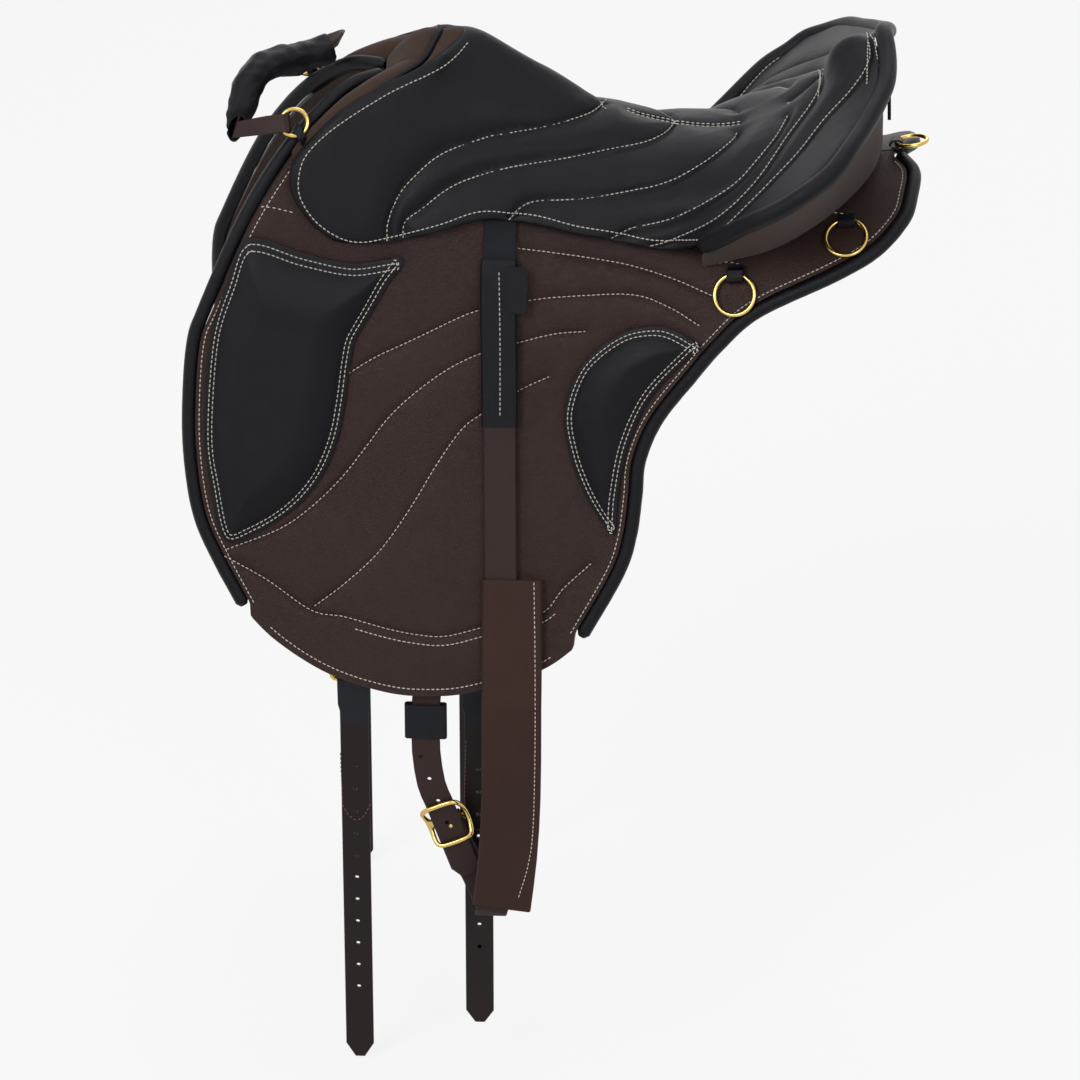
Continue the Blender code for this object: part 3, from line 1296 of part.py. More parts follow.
tab, made, top = tab_and_ring(
    "crupper", CRUPPER_TAB_SHARES, CRUPPER_RING_RADIUS, 2 * FIT, (1, 0), LEATHER, gap=PAD_GAP
)
baked(tab)
made = baked(made)
hung_on("crupper_pivot", top, made)

# Grab handle: a strap from ring to ring over the withers, through a padded leather tube.
HANDLE_WIDTH = 0.016
HANDLE_WALL = 0.0030
HANDLE_SHARES = [
    (-0.823, -0.921, -0.161),
    (-0.710, -0.556, 0.261),
    (-0.545, -0.238, 0.476),
    (-0.186, 0.159, 0.456),
    (0.092, 0.397, 0.425),
    (0.379, 0.572, 0.476),
]
HANDLE_FAR_SHARES = [
    (0.482, 0.715, 0.538),
    (0.451, 0.953, 0.456),
    (0.174, 1.192, 0.250),
    (-0.258, 1.255, 0.076),
]


handle_span = -grab_centre.y


def handle_point(shares):
    """A point of the handle, from midway between its rings, in shares of half their distance."""
    return Vector((grab_centre.x, 0, grab_centre.z)) + Vector(shares) * handle_span


grip = path([handle_point(shares) for shares in HANDLE_SHARES])
far_curl = [handle_point(shares) for shares in HANDLE_FAR_SHARES]
pull = grip[0] - grab_centre
pull = (pull - grab_aim * pull.dot(grab_aim)).normalized()
lift_aim = grab_aim
grab_wire = grab_centre + pull * GRAB_RING_RADIUS
fold = RING_WIRE + 2 * FIT + STRAP_THICKNESS / 2
slack = GRAB_RING_RADIUS - math.sqrt(GRAB_RING_RADIUS**2 - (HANDLE_WIDTH / 2) ** 2) + FIT
hook = [
    grab_wire - lift_aim * fold + pull * 0.8 * HANDLE_WIDTH,
    grab_wire - lift_aim * fold - pull * slack,
    grab_wire - lift_aim * fold * 0.7 - pull * (slack + fold * 0.7),
    grab_wire - pull * (slack + fold),
    grab_wire + lift_aim * fold * 0.7 - pull * (slack + fold * 0.7),
    grab_wire + lift_aim * fold - pull * slack,
    grab_wire + lift_aim * fold + pull * 0.7 * HANDLE_WIDTH,
]
far_hook = [Vector((p.x, -p.y, p.z)) for p in reversed(hook)]
middle = hook + grip + path([grip[-1], *far_curl, far_hook[0]])[1:-1] + far_hook
sides = []
for i, here in enumerate(middle):
    run = (middle[min(i + 1, len(middle) - 1)] - middle[max(i - 1, 0)]).normalized()
    aim = pull.cross(lift_aim) if i < len(hook) else sides[-1]
    sides.append((aim - run * aim.dot(run)).normalized())
stations = [(p, side, HANDLE_WIDTH, STRAP_THICKNESS) for p, side in zip(middle, sides)]
baked(strap("handle_strap", stations, STRAP_LEATHER))
rings = []
count = 10
for i, here in enumerate(grip):
    run = (grip[min(i + 1, len(grip) - 1)] - grip[max(i - 1, 0)]).normalized()
    side = sides[len(hook) + i]
    deep = run.cross(side)
    both = []
    for radius in (HANDLE_TUBE_RADIUS, HANDLE_TUBE_RADIUS - HANDLE_WALL):
        for k in range(count):
            a = 2 * math.pi * k / count
            both.append(here + (side * math.cos(a) + deep * math.sin(a)) * radius)
    rings.append(both)
sleeve_body("handle_wrap", rings, BLACK_LEATHER)

# Cantle tab: a small oval leather plate on the back of the cantle.
TAB_HALF_WIDTH = 0.0120
TAB_HALF_HEIGHT = 0.0210
back_low, back_high = gusset_rows[1][12], gusset_rows[3][12]
tab_up = (back_high - back_low).normalized()
tab_side = Vector((0, 1, 0))
tab_out = tab_side.cross(tab_up)
tab_centre = back_low.lerp(back_high, 0.5) + tab_out * (STRAP_THICKNESS / 2 + 1.6 * PAD_GAP)
ovals = []
for k in (-0.5, 0.5):
    oval = []
    for i in range(16):
        a = 2 * math.pi * i / 16
        place = tab_side * (TAB_HALF_WIDTH * math.cos(a)) + tab_up * (TAB_HALF_HEIGHT * math.sin(a))
        oval.append(tab_centre + place + tab_out * (k * STRAP_THICKNESS))
    ovals.append(oval)
lofted("cantle_tab", ovals, BLACK_LEATHER)
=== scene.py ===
"""A treeless riding saddle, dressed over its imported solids: leather, stitching, webbing and brass.

Metres, +X to the rear, -Y to the near side, +Z up. The origin is on the spine line of the back.
Most pieces lie on the back, so their outlines are drawn flat: x along the horse, s down over its side.
"""
import json
import math

import bmesh
import bpy
import numpy as np
from mathutils import Matrix, Vector
from mathutils.bvhtree import BVHTree
from mathutils.geometry import delaunay_2d_cdt


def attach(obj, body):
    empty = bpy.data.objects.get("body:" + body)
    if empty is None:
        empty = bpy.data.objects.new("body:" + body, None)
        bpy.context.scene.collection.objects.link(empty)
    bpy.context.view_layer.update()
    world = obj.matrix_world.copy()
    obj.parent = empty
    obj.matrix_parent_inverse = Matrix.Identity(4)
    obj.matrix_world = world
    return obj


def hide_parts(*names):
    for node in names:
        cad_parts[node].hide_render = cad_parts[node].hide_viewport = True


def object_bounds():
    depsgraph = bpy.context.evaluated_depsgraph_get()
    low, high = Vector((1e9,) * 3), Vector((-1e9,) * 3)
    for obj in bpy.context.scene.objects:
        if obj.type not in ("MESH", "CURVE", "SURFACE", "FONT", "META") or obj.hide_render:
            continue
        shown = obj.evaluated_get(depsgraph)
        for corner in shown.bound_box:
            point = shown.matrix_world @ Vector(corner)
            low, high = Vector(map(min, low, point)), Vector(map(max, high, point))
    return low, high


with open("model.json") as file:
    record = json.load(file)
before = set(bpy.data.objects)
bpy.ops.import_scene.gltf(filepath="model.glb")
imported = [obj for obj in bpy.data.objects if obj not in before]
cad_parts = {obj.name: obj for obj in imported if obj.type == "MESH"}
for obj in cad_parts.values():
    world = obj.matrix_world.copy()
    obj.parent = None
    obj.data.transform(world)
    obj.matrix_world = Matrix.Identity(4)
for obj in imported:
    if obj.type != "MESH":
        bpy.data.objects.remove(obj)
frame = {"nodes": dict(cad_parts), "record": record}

packed_box = [list(corner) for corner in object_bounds()]

# The camera, at the photograph's angle. Its frame is 1080 pixels wide, and a pixel of it picks a line of
# sight, which is how the stitch lines of the seat and the straps are laid on their leather.
FRAME_PIXELS = 1080
FOCAL_PIXELS = 5464.5
SENSOR = 36.0
VIEW_TURN = math.radians(3)
VIEW_RISE = math.radians(28)
VIEW_DISTANCE = 5.0
VIEW_AIM = Vector((0, 0, -0.38))

towards = Vector((
    math.sin(VIEW_TURN) * math.cos(VIEW_RISE), -math.cos(VIEW_TURN) * math.cos(VIEW_RISE), math.sin(VIEW_RISE)
))
view_place = VIEW_AIM + towards * VIEW_DISTANCE
view_right = Vector((math.cos(VIEW_TURN), math.sin(VIEW_TURN), 0))
view_up = towards.cross(view_right)


def linked(name, data):
    """An object for this data, put in the scene."""
    made = bpy.data.objects.new(name, data)
    bpy.context.collection.objects.link(made)
    return made


def turned_to(place, aim):
    """The matrix of something that stands at a place, with its Z axis turned to a direction."""
    return Matrix.Translation(place) @ aim.to_track_quat("Z", "Y").to_matrix().to_4x4()


camera = linked("camera", bpy.data.cameras.new("camera"))
camera.data.lens = SENSOR * FOCAL_PIXELS / FRAME_PIXELS
camera.data.sensor_width = SENSOR
camera.matrix_world = turned_to(view_place, towards)
bpy.context.scene.camera = camera


def sight(pixel):
    """The direction in which the camera sees a pixel."""
    across = (pixel[0] - FRAME_PIXELS / 2) / FOCAL_PIXELS
    down = (pixel[1] - FRAME_PIXELS / 2) / FOCAL_PIXELS
    return (view_right * across - view_up * down - towards).normalized()


# The studio: a pale floor under the hanging straps, a white surround and large soft lamps.
FLOOR_HEIGHT = packed_box[0][2] - 0.004
FLOOR_SIZE = 14.0
SURROUND_LIGHT = 0.22
LAMP_AIM_SHARE = 0.4
FLOOR_TONE = 0.80
FLOOR_ROUGH = 0.9
FLOOR_GLOW_SHARE = 0.85
LAMPS = (
    # name, place, size, power
    ("key_lamp", (-1.9, -2.6, 2.3), 1.5, 68.0),
    ("fill_lamp", (1.3, -2.9, 1.7), 1.2, 26.0),
    ("top_lamp", (0.3, 0.5, 3.0), 1.8, 26.0),
    ("back_lamp", (0.6, 3.0, 1.6), 1.8, 20.0),
)

for lamp_name, place, size, power in LAMPS:
    lamp = bpy.data.lights.new(lamp_name, "AREA")
    lamp.size = size
    lamp.energy = power
    linked(lamp_name, lamp).matrix_world = turned_to(place, Vector(place) - VIEW_AIM * LAMP_AIM_SHARE)


def feed(tree, node, values):
    """Sets a node's inputs. A value is a number or colour, or another node's output to take it from."""
    for title, value in values.items():
        if isinstance(value, bpy.types.NodeSocket):
            tree.links.new(value, node.inputs[title])
        else:
            node.inputs[title].default_value = value


def place_node(tree, kind, values=(), **settings):
    """Puts a node in a tree, with its settings and inputs."""
    made = tree.nodes.new(kind)
    for title, value in settings.items():
        setattr(made, title, value)
    feed(tree, made, dict(values))
    return made


def worked(tree, operation, first, second, **settings):
    """The number that a sum of two numbers gives."""
    values = {0: first, 1: second}
    return place_node(tree, "ShaderNodeMath", values, operation=operation, **settings).outputs[0]


def ranged(tree, value, low, high):
    """A value from 0 to 1 turned into one from low to high."""
    values = {"Value": value, "To Min": low, "To Max": high}
    return place_node(tree, "ShaderNodeMapRange", values).outputs["Result"]


def between(tree, share, first, second):
    """The colour that lies at this share of the way from the first to the second."""
    values = {"Factor": share, 6: first, 7: second}
    return place_node(tree, "ShaderNodeMix", values, data_type="RGBA").outputs[2]


def noise(tree, **values):
    """A noise texture on the piece's own coordinates."""
    where = place_node(tree, "ShaderNodeTexCoord").outputs["Object"]
    return place_node(tree, "ShaderNodeTexNoise", {"Vector": where, **values})


def new_finish(name, values=()):
    """A new material with its node tree and its shader, whose inputs are set."""
    made = bpy.data.materials.new(name)
    made.use_nodes = True
    shader = made.node_tree.nodes["Principled BSDF"]
    feed(made.node_tree, shader, dict(values))
    return made, made.node_tree, shader


def seen_white(tree):
    """One for what is seen straight, or in metal or glass. Zero for light that falls on things."""
    path = place_node(tree, "ShaderNodeLightPath")
    seen = path.outputs["Is Camera Ray"]
    for other in ("Is Glossy Ray", "Is Transmission Ray"):
        seen = worked(tree, "MAXIMUM", seen, path.outputs[other])
    return seen


WHITE = (1, 1, 1, 1)
world = bpy.data.worlds.new("surround")
bpy.context.scene.world = world
world.use_nodes = True
tree = world.node_tree
strength = ranged(tree, seen_white(tree), SURROUND_LIGHT, 1.0)
feed(tree, tree.nodes["Background"], {"Color": WHITE, "Strength": strength})

floor_mesh = bpy.data.meshes.new("floor")
half = FLOOR_SIZE / 2
floor_mesh.from_pydata(
    [(x, y, FLOOR_HEIGHT) for x, y in ((-half, -half), (half, -half), (half, half), (-half, half))],
    [], [(0, 1, 2, 3)],
)
floor = linked("floor", floor_mesh)
floor_tones = {"Base Color": (FLOOR_TONE, FLOOR_TONE, FLOOR_TONE, 1), "Roughness": FLOOR_ROUGH}
floor_paint, tree, shader = new_finish("floor_paint", floor_tones)
glow = place_node(tree, "ShaderNodeEmission", {"Color": WHITE, "Strength": 1.0})
share = worked(tree, "MULTIPLY", seen_white(tree), FLOOR_GLOW_SHARE)
blend_in = place_node(tree, "ShaderNodeMixShader", {0: share, 1: shader.outputs[0], 2: glow.outputs[0]})
feed(tree, tree.nodes["Material Output"], {"Surface": blend_in.outputs[0]})
floor_mesh.materials.append(floor_paint)

# The flaps: one padded panel of pebbled brown leather a side, quilted in long curved channels. Each is cut
# flat, so it is made flat here as well and then laid over the back, with its seams sunk into its padding.
LENGTH = 0.644
DROP = 0.498
FRONT_X = -0.480 * LENGTH
LOW_X = FRONT_X + 0.728 * LENGTH
FLARE_START_X = FRONT_X + 0.449 * LENGTH
FLARE_END_X = FRONT_X + 0.977 * LENGTH
WITHERS_X = FRONT_X + 0.261 * LENGTH
LOIN_X = FRONT_X + 0.978 * LENGTH
WITHERS_ROUND = 0.075
LOIN_ROUND = 0.220
SIDE_ROUND = 0.200
SHOULDER = math.radians(48)
SIDE_SLOPE = math.radians(74)
WITHERS_RISE = 0.088
LOIN_RISE = 0.010
RISE_SPREAD = 0.170
NUDGE = 0.00009


def on_back(x, s):
    """The point of the back at x and s on the near side."""
    spine = WITHERS_ROUND
    if x > FLARE_START_X:
        spine += (LOIN_ROUND - WITHERS_ROUND) * ((x - FLARE_START_X) / (FLARE_END_X - FLARE_START_X)) ** 2
    turned = spine * SHOULDER
    side = turned + SIDE_ROUND * (SIDE_SLOPE - SHOULDER)
    if s < turned:
        out, down = spine * math.sin(s / spine), spine * (1 - math.cos(s / spine))
    else:
        angle = min(SIDE_SLOPE, SHOULDER + (s - turned) / SIDE_ROUND)
        rest = max(0.0, s - side)
        out = (spine - SIDE_ROUND) * math.sin(SHOULDER) + SIDE_ROUND * math.sin(angle)
        out += rest * math.cos(SIDE_SLOPE)
        down = spine - (spine - SIDE_ROUND) * math.cos(SHOULDER) - SIDE_ROUND * math.cos(angle)
        down += rest * math.sin(SIDE_SLOPE)
    if x < LOW_X:
        rise = WITHERS_RISE * ((LOW_X - x) / (LOW_X - WITHERS_X)) ** 1.5
    else:
        rise = LOIN_RISE * ((x - LOW_X) / (LOIN_X - LOW_X)) ** 2
    return Vector((x, -out, rise * max(0.0, 1 - s / RISE_SPREAD) ** 1.5 - down))


def off_back(x, s):
    """The direction straight out of the back at x and s."""
    along = on_back(x + NUDGE, s) - on_back(x - NUDGE, s)
    low = max(0.0, s - NUDGE)
    if low == 0.0:
        return Vector((-along.z, 0, along.x)).normalized()
    return (on_back(x, s + NUDGE) - on_back(x, low)).cross(along).normalized()


def laid(x, s, height=0.0):
    """The near-side point at x and s, this far off the back."""
    return on_back(x, s) + off_back(x, s) * height


def curved(points, steps, closed=False):
    """A smooth curve through the points, with this many steps between each two."""
    points = np.array(points, float)
    if closed:
        padded = np.vstack([points[-1:], points, points[:2]])
    else:
        padded = np.vstack([2 * points[0] - points[1], points, 2 * points[-1] - points[-2]])
    made = []
    for a, b, c, d in zip(padded, padded[1:], padded[2:], padded[3:]):
        for k in range(steps):
            t = k / steps
            made.append(b + 0.5 * t * (c - a + t * (2 * a - 5 * b + 4 * c - d + t * (3 * (b - c) + d - a))))
    return np.array(made if closed else [*made, points[-1]])


def cut(shares, steps=8, closed=False):
    """Shares of the panel's length and drop, as a smooth flat line of x and s."""
    flat = [(FRONT_X + along * LENGTH, down * DROP) for along, down in shares]
    return curved(flat, steps, closed)


def looped(line):
    """A closed outline as a line that ends at its first point."""
    return np.vstack([line, line[:1]])


def respaced(line, step=None, count=None):
    """The line with its points evenly apart: close to this step, or this many."""
    line = np.array([tuple(p) for p in line], float)
    along = np.concatenate([[0], np.cumsum(np.linalg.norm(np.diff(line, axis=0), axis=1))])
    marks = np.linspace(0, along[-1], count or max(2, round(along[-1] / step)) + 1)
    return np.stack([np.interp(marks, along, column) for column in line.T], axis=1)


def away_from(points, line):
    """How far each point is from the line."""
    starts, spans = line[:-1], np.diff(line, axis=0)
    square = np.maximum((spans**2).sum(1), NUDGE**2 / 100)
    nearest = np.full(len(points), np.inf)
    for start, span, size in zip(starts, spans, square):
        apart = points - start
        t = np.clip(apart @ span / size, 0, 1)
        nearest = np.minimum(nearest, ((apart - t[:, None] * span) ** 2).sum(1))
    return np.sqrt(nearest)


def within(points, outline):
    """True for each point inside the closed outline."""
    found = np.zeros(len(points), bool)
    for (ax, ay), (bx, by) in zip(outline, np.roll(outline, -1, axis=0)):
        if ay == by:
            continue
        crossed = (ay > points[:, 1]) != (by > points[:, 1])
        found ^= crossed & (points[:, 0] < ax + (points[:, 1] - ay) / (by - ay) * (bx - ax))
    return found


def blank(outline, seams, step):
    """A flat piece cut to the outline: its points and triangles, with the seams as edges."""
    rim = respaced(looped(outline), step)[:-1]
    lines = [looped(rim)]
    points = list(map(tuple, rim))
    edges = [(k, (k + 1) % len(rim)) for k in range(len(rim))]
    for seam in seams:
        seam = respaced(seam, step)
        lines.append(seam)
        edges += [(len(points) + k, len(points) + k + 1) for k in range(len(seam) - 1)]
        points += list(map(tuple, seam))
    low, high = rim.min(0), rim.max(0)
    rows = []
    for row, s in enumerate(np.arange(low[1], high[1], step * 0.87)):
        xs = np.arange(low[0] + (row % 2) * step / 2, high[0], step)
        rows.append(np.stack([xs, np.full(len(xs), s)], axis=1))
    grid = np.vstack(rows)
    grid = grid[within(grid, rim)]
    for line in lines:
        grid = grid[away_from(grid, line) > step * 0.55]
    points += list(map(tuple, grid))
    flat, _, faces, *_ = delaunay_2d_cdt([Vector(p) for p in points], edges, [], 1, NUDGE / 10)
    return np.array([tuple(p) for p in flat]), [tuple(f) for f in faces]


SHARP_BEND = math.radians(50)


def shell(name, top, bottom, faces):
    """A closed body between two matching sheets of points."""
    count = len(top)
    open_edges = {}
    for face in faces:
        for a, b in zip(face, face[1:] + face[:1]):
            if open_edges.pop((b, a), None) is None:
                open_edges[(a, b)] = True
    walls = [(b, a, a + count, b + count) for a, b in open_edges]
    under = [tuple(k + count for k in reversed(face)) for face in faces]
    mesh = bpy.data.meshes.new(name)
    mesh.from_pydata([tuple(p) for p in [*top, *bottom]], [], [*faces, *under, *walls])
    facing_out(mesh)
    return mesh


def facing_out(mesh):
    """Turns the faces of a closed mesh outwards and shades it smooth but for its sharp edges."""
    work = bmesh.new()
    work.from_mesh(mesh)
    bmesh.ops.recalc_face_normals(work, faces=work.faces)
    work.to_mesh(mesh)
    work.free()
    mesh.shade_smooth()
    mesh.set_sharp_from_angle(angle=SHARP_BEND)


# The finishes by the slots they fill, and the sides by their hands.
FINISHES = {}
SIDES = (("near", 1), ("off", -1))


def piece(name, mesh, slot_name, node=None, body="saddle", finish=None):
    """An object for a finished mesh, riding on its body and standing for its CAD node."""
    made = linked(name, mesh)
    mesh.materials.clear()
    mesh.materials.append(finish or FINISHES[slot_name])
    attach(made, body)
    if node is not None:
        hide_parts(node)


def to_side(mesh, hand):
    """The near-side mesh itself, or its mirrored copy for the off side."""
    if hand > 0:
        return mesh
    turned = mesh.copy()
    turned.transform(Matrix.Scale(-1, 4, (0, 1, 0)))
    turned.flip_normals()
    return turned


def dressed(name, mesh, slot_name, stem):
    """Both sides of a padded piece of the saddle, each standing for its side's CAD node."""
    for side, hand in SIDES:
        piece(f"{name}_{side}", to_side(mesh, hand), slot_name, f"{stem}_{side}")


def new_group(name, inputs, outputs, kind="ShaderNodeTree"):
    """A node group with its named inputs and outputs, and its two end nodes."""
    group = bpy.data.node_groups.new(name, kind)
    for way, sockets in (("INPUT", inputs), ("OUTPUT", outputs)):
        for title, sort in sockets.items():
            group.interface.new_socket(title, in_out=way, socket_type=f"NodeSocket{sort}")
    return group, group.nodes.new("NodeGroupInput"), group.nodes.new("NodeGroupOutput")


# Leather grain: rounded pebbles with creases between them, fine pores, and slow drifts of tone.
PEBBLE_BEND = (0.004, 0.004, 0.004)
PORE_SHARE = 0.35
CREASE_SHADE = 0.72
ROUGH_DRIFT = (0.05, 0.06)
grain, given, gives = new_group(
    "leather_grain", {"Pebbles": "Float"}, {"Height": "Float", "Tone": "Float", "Creases": "Float"}
)
where = place_node(grain, "ShaderNodeTexCoord").outputs["Object"]
bend = {0: noise(grain, Scale=60.0, Detail=2.0).outputs["Color"], 1: PEBBLE_BEND}
bent = place_node(grain, "ShaderNodeVectorMath", bend, operation="MULTIPLY")
moved = place_node(grain, "ShaderNodeVectorMath", {0: where, 1: bent.outputs[0]}, operation="ADD").outputs[0]
pebble = place_node(
    grain, "ShaderNodeTexVoronoi", {"Vector": moved, "Scale": given.outputs["Pebbles"], "Randomness": 0.95},
    feature="DISTANCE_TO_EDGE",
)
dome = place_node(
    grain, "ShaderNodeMapRange", {"Value": pebble.outputs["Distance"], "From Max": 0.28},
    interpolation_type="SMOOTHSTEP",
).outputs["Result"]
pores = worked(grain, "MULTIPLY", noise(grain, Scale=2600.0, Detail=2.0).outputs["Fac"], PORE_SHARE)
slow = noise(grain, Scale=14.0, Detail=5.0, Roughness=0.6).outputs["Fac"]
drift = {"Value": slow, "From Min": 0.30, "From Max": 0.70}
feed(grain, gives, {
    "Height": worked(grain, "ADD", dome, pores),
    "Tone": place_node(grain, "ShaderNodeMapRange", drift).outputs["Result"],
    "Creases": worked(grain, "SUBTRACT", 1.0, dome),
})

# Edge wear: paler, drier leather where hands and straps rub. The "edge" attribute is 1 on a piece's rim.
wear, given, gives = new_group(
    "edge_wear", {"Colour": "Color", "Worn": "Color", "Amount": "Float"}, {"Colour": "Color"}
)
edge = place_node(wear, "ShaderNodeAttribute", attribute_name="edge").outputs["Fac"]
rubbed = worked(wear, "MULTIPLY", edge, noise(wear, Scale=90.0, Detail=4.0).outputs["Fac"])
mask = worked(wear, "MULTIPLY", rubbed, given.outputs["Amount"], use_clamp=True)
feed(wear, gives, {"Colour": between(wear, mask, given.outputs["Colour"], given.outputs["Worn"])})


def leather(name, dark, light, pebbles, relief, rough, worn, amount, gloss):
    """A leather: two tones that drift into each other, a pebbled grain with painted shade in its creases, and
    worn edges.
    """
    made, tree, shader = new_finish(name)
    hide = place_node(tree, "ShaderNodeGroup", {"Pebbles": pebbles}, node_tree=grain)
    tint = between(tree, hide.outputs["Tone"], (*dark, 1), (*light, 1))
    # Painted shade: the colour is darkened in the creases between the pebbles.
    shaded = {0: tint, "Scale": ranged(tree, hide.outputs["Creases"], 1.0, CREASE_SHADE)}
    tint = place_node(tree, "ShaderNodeVectorMath", shaded, operation="SCALE").outputs[0]
    edges = {"Colour": tint, "Worn": (*worn, 1), "Amount": amount}
    raised = {"Height": hide.outputs["Height"], "Distance": relief, "Strength": 1.0}
    feed(tree, shader, {
        "Base Color": place_node(tree, "ShaderNodeGroup", edges, node_tree=wear).outputs["Colour"],
        "Roughness": ranged(tree, hide.outputs["Tone"], rough - ROUGH_DRIFT[0], rough + ROUGH_DRIFT[1]),
        "Normal": place_node(tree, "ShaderNodeBump", raised).outputs[0],
        "Specular IOR Level": gloss,
    })
    return made


LEATHERS = (
    # slot, name, dark and light tone, pebbles, relief, roughness, worn tone, wear, gloss
    ("brown_leather", "pebbled_brown_hide", (0.0265, 0.0118, 0.0096), (0.0430, 0.0208, 0.0172), 620.0,
     0.00030, 0.46, (0.065, 0.036, 0.030), 0.3, 0.22),
    ("black_leather", "black_hide", (0.0034, 0.0036, 0.0060), (0.0056, 0.0059, 0.0092), 1500.0,
     0.00007, 0.34, (0.022, 0.022, 0.026), 0.3, 0.15),
    ("nubuck", "brown_nubuck", (0.044, 0.0235, 0.0175), (0.072, 0.041, 0.031), 2600.0,
     0.00005, 0.86, (0.13, 0.08, 0.06), 0.4, 0.2),
    ("strap_leather", "strap_leather", (0.031, 0.0160, 0.0140), (0.041, 0.0225, 0.0200), 1800.0,
     0.00004, 0.52, (0.07, 0.045, 0.038), 0.4, 0.2),
    ("billet_leather", "billet_leather", (0.0125, 0.0062, 0.0072), (0.0190, 0.0098, 0.0108), 1800.0,
     0.00004, 0.46, (0.05, 0.03, 0.028), 0.4, 0.2),
    ("fender_leather", "fender_leather", (0.035, 0.0142, 0.0105), (0.051, 0.0215, 0.0160), 1500.0,
     0.00006, 0.55, (0.075, 0.042, 0.032), 0.4, 0.2),
    # woven and felted
    ("webbing", "webbing", (0.008, 0.009, 0.014), (0.013, 0.014, 0.021), 2200.0,
     0.00015, 0.8, (0.02, 0.02, 0.03), 0.2, 0.28),
    ("felt", "panel_felt", (0.012, 0.012, 0.013), (0.022, 0.022, 0.024), 2400.0,
     0.0001, 0.95, (0.03, 0.03, 0.03), 0.2, 0.28),
)
for slot_name, *looks in LEATHERS:
    FINISHES[slot_name] = leather(*looks)
FINISHES["foam"] = FINISHES["felt"]
FINISHES["brass"], _, _ = new_finish(
    "polished_brass", {"Base Color": (0.62, 0.44, 0.14, 1), "Metallic": 1.0, "Roughness": 0.22}
)
tree = FINISHES["nubuck"].node_tree
feed(tree, tree.nodes["Principled BSDF"], {"Sheen Weight": 0.14, "Sheen Roughness": 0.45})

# Above its leather a billet is a folded web, so its colour changes to the web's tint there.
WEB_DOWN_TO = -0.4775
WEB_TINT = (0.010, 0.011, 0.017, 1)
tree = FINISHES["billet_leather"].node_tree
shader = tree.nodes["Principled BSDF"]
where = place_node(tree, "ShaderNodeTexCoord").outputs["Object"]
height = place_node(tree, "ShaderNodeSeparateXYZ", {0: where}).outputs["Z"]
above = worked(tree, "GREATER_THAN", height, WEB_DOWN_TO)
tint = shader.inputs["Base Color"].links[0].from_socket
feed(tree, shader, {"Base Color": between(tree, above, tint, WEB_TINT)})

# The flaps' lines, as shares of the panel's length and its drop down the side.
FRONT_EDGE_SHARES = (
    (0.262, 0.004), (0.222, 0.032), (0.183, 0.072), (0.125, 0.137), (0.073, 0.211), (0.023, 0.309),
    (0.006, 0.371), (0.000, 0.490), (0.003, 0.588), (0.016, 0.685), (0.042, 0.763), (0.078, 0.849),
)
REAR_EDGE_SHARES = (
    (0.980, 0.004), (1.000, 0.060), (0.997, 0.125), (0.986, 0.182), (0.949, 0.243), (0.893, 0.283),
    (0.790, 0.331), (0.741, 0.380), (0.705, 0.432), (0.660, 0.504), (0.638, 0.572), (0.634, 0.633),
    (0.627, 0.709), (0.610, 0.779), (0.561, 0.893),
)
BOTTOM_EDGE_SHARES = (
    (0.085, 0.847), (0.132, 0.906), (0.202, 0.962), (0.281, 0.994), (0.343, 1.000), (0.404, 0.990),
    (0.498, 0.948), (0.555, 0.896),
)
KNEE_ROLL_SHARES = (
    (0.092, 0.230), (0.169, 0.241), (0.235, 0.248), (0.301, 0.238), (0.277, 0.279), (0.241, 0.349),
    (0.232, 0.392), (0.225, 0.464), (0.214, 0.538), (0.191, 0.608), (0.154, 0.665), (0.103, 0.709),
    (0.060, 0.722), (0.041, 0.624), (0.032, 0.528), (0.041, 0.357), (0.064, 0.279),
)
THIGH_BLOCK_SHARES = (
    (0.712, 0.371), (0.674, 0.339), (0.643, 0.331), (0.606, 0.339), (0.567, 0.371), (0.541, 0.412),
    (0.525, 0.482), (0.534, 0.554), (0.555, 0.624), (0.582, 0.681), (0.598, 0.700), (0.602, 0.631),
    (0.615, 0.540), (0.645, 0.456), (0.700, 0.384),
)
FLAP_SEAM_SHARES = (
    ((0.230, 0.418), (0.264, 0.390), (0.309, 0.361), (0.368, 0.323), (0.409, 0.303), (0.471, 0.287),
     (0.528, 0.279), (0.614, 0.277), (0.666, 0.301), (0.707, 0.335)),
    ((0.551, 0.337), (0.510, 0.341), (0.461, 0.357), (0.409, 0.378), (0.364, 0.408), (0.319, 0.452),
     (0.283, 0.498), (0.250, 0.556), (0.218, 0.610), (0.177, 0.663), (0.134, 0.703), (0.064, 0.741)),
    ((0.502, 0.418), (0.463, 0.442), (0.409, 0.488), (0.382, 0.518), (0.350, 0.580), (0.323, 0.641),
     (0.297, 0.695), (0.267, 0.747), (0.225, 0.799), (0.185, 0.840)),
    ((0.061, 0.755), (0.118, 0.795), (0.180, 0.849), (0.225, 0.859), (0.281, 0.878), (0.323, 0.888),
     (0.365, 0.890), (0.419, 0.871), (0.496, 0.845), (0.527, 0.799), (0.564, 0.755)),
    ((0.458, 0.210), (0.499, 0.212), (0.556, 0.218), (0.614, 0.230), (0.673, 0.255), (0.728, 0.289)),
)
FLAP_THICKNESS = 0.008
FLAP_PUFF = 0.0036
FLAP_WORN = 0.004
CHANNEL_REACH = 0.009
CHANNEL_CUT = 0.0018
CHANNEL_WIDTH = 0.0018
SMOOTH_DOWN = 0.125
SMOOTH_BACK, SMOOTH_FADE = 0.165, 0.03
BINDING = 0.0062
HEM_INSET = 0.0065
FINE = 0.0034

front_edge = cut(FRONT_EDGE_SHARES)
rear_edge = cut(REAR_EDGE_SHARES)
bottom_edge = cut(BOTTOM_EDGE_SHARES)


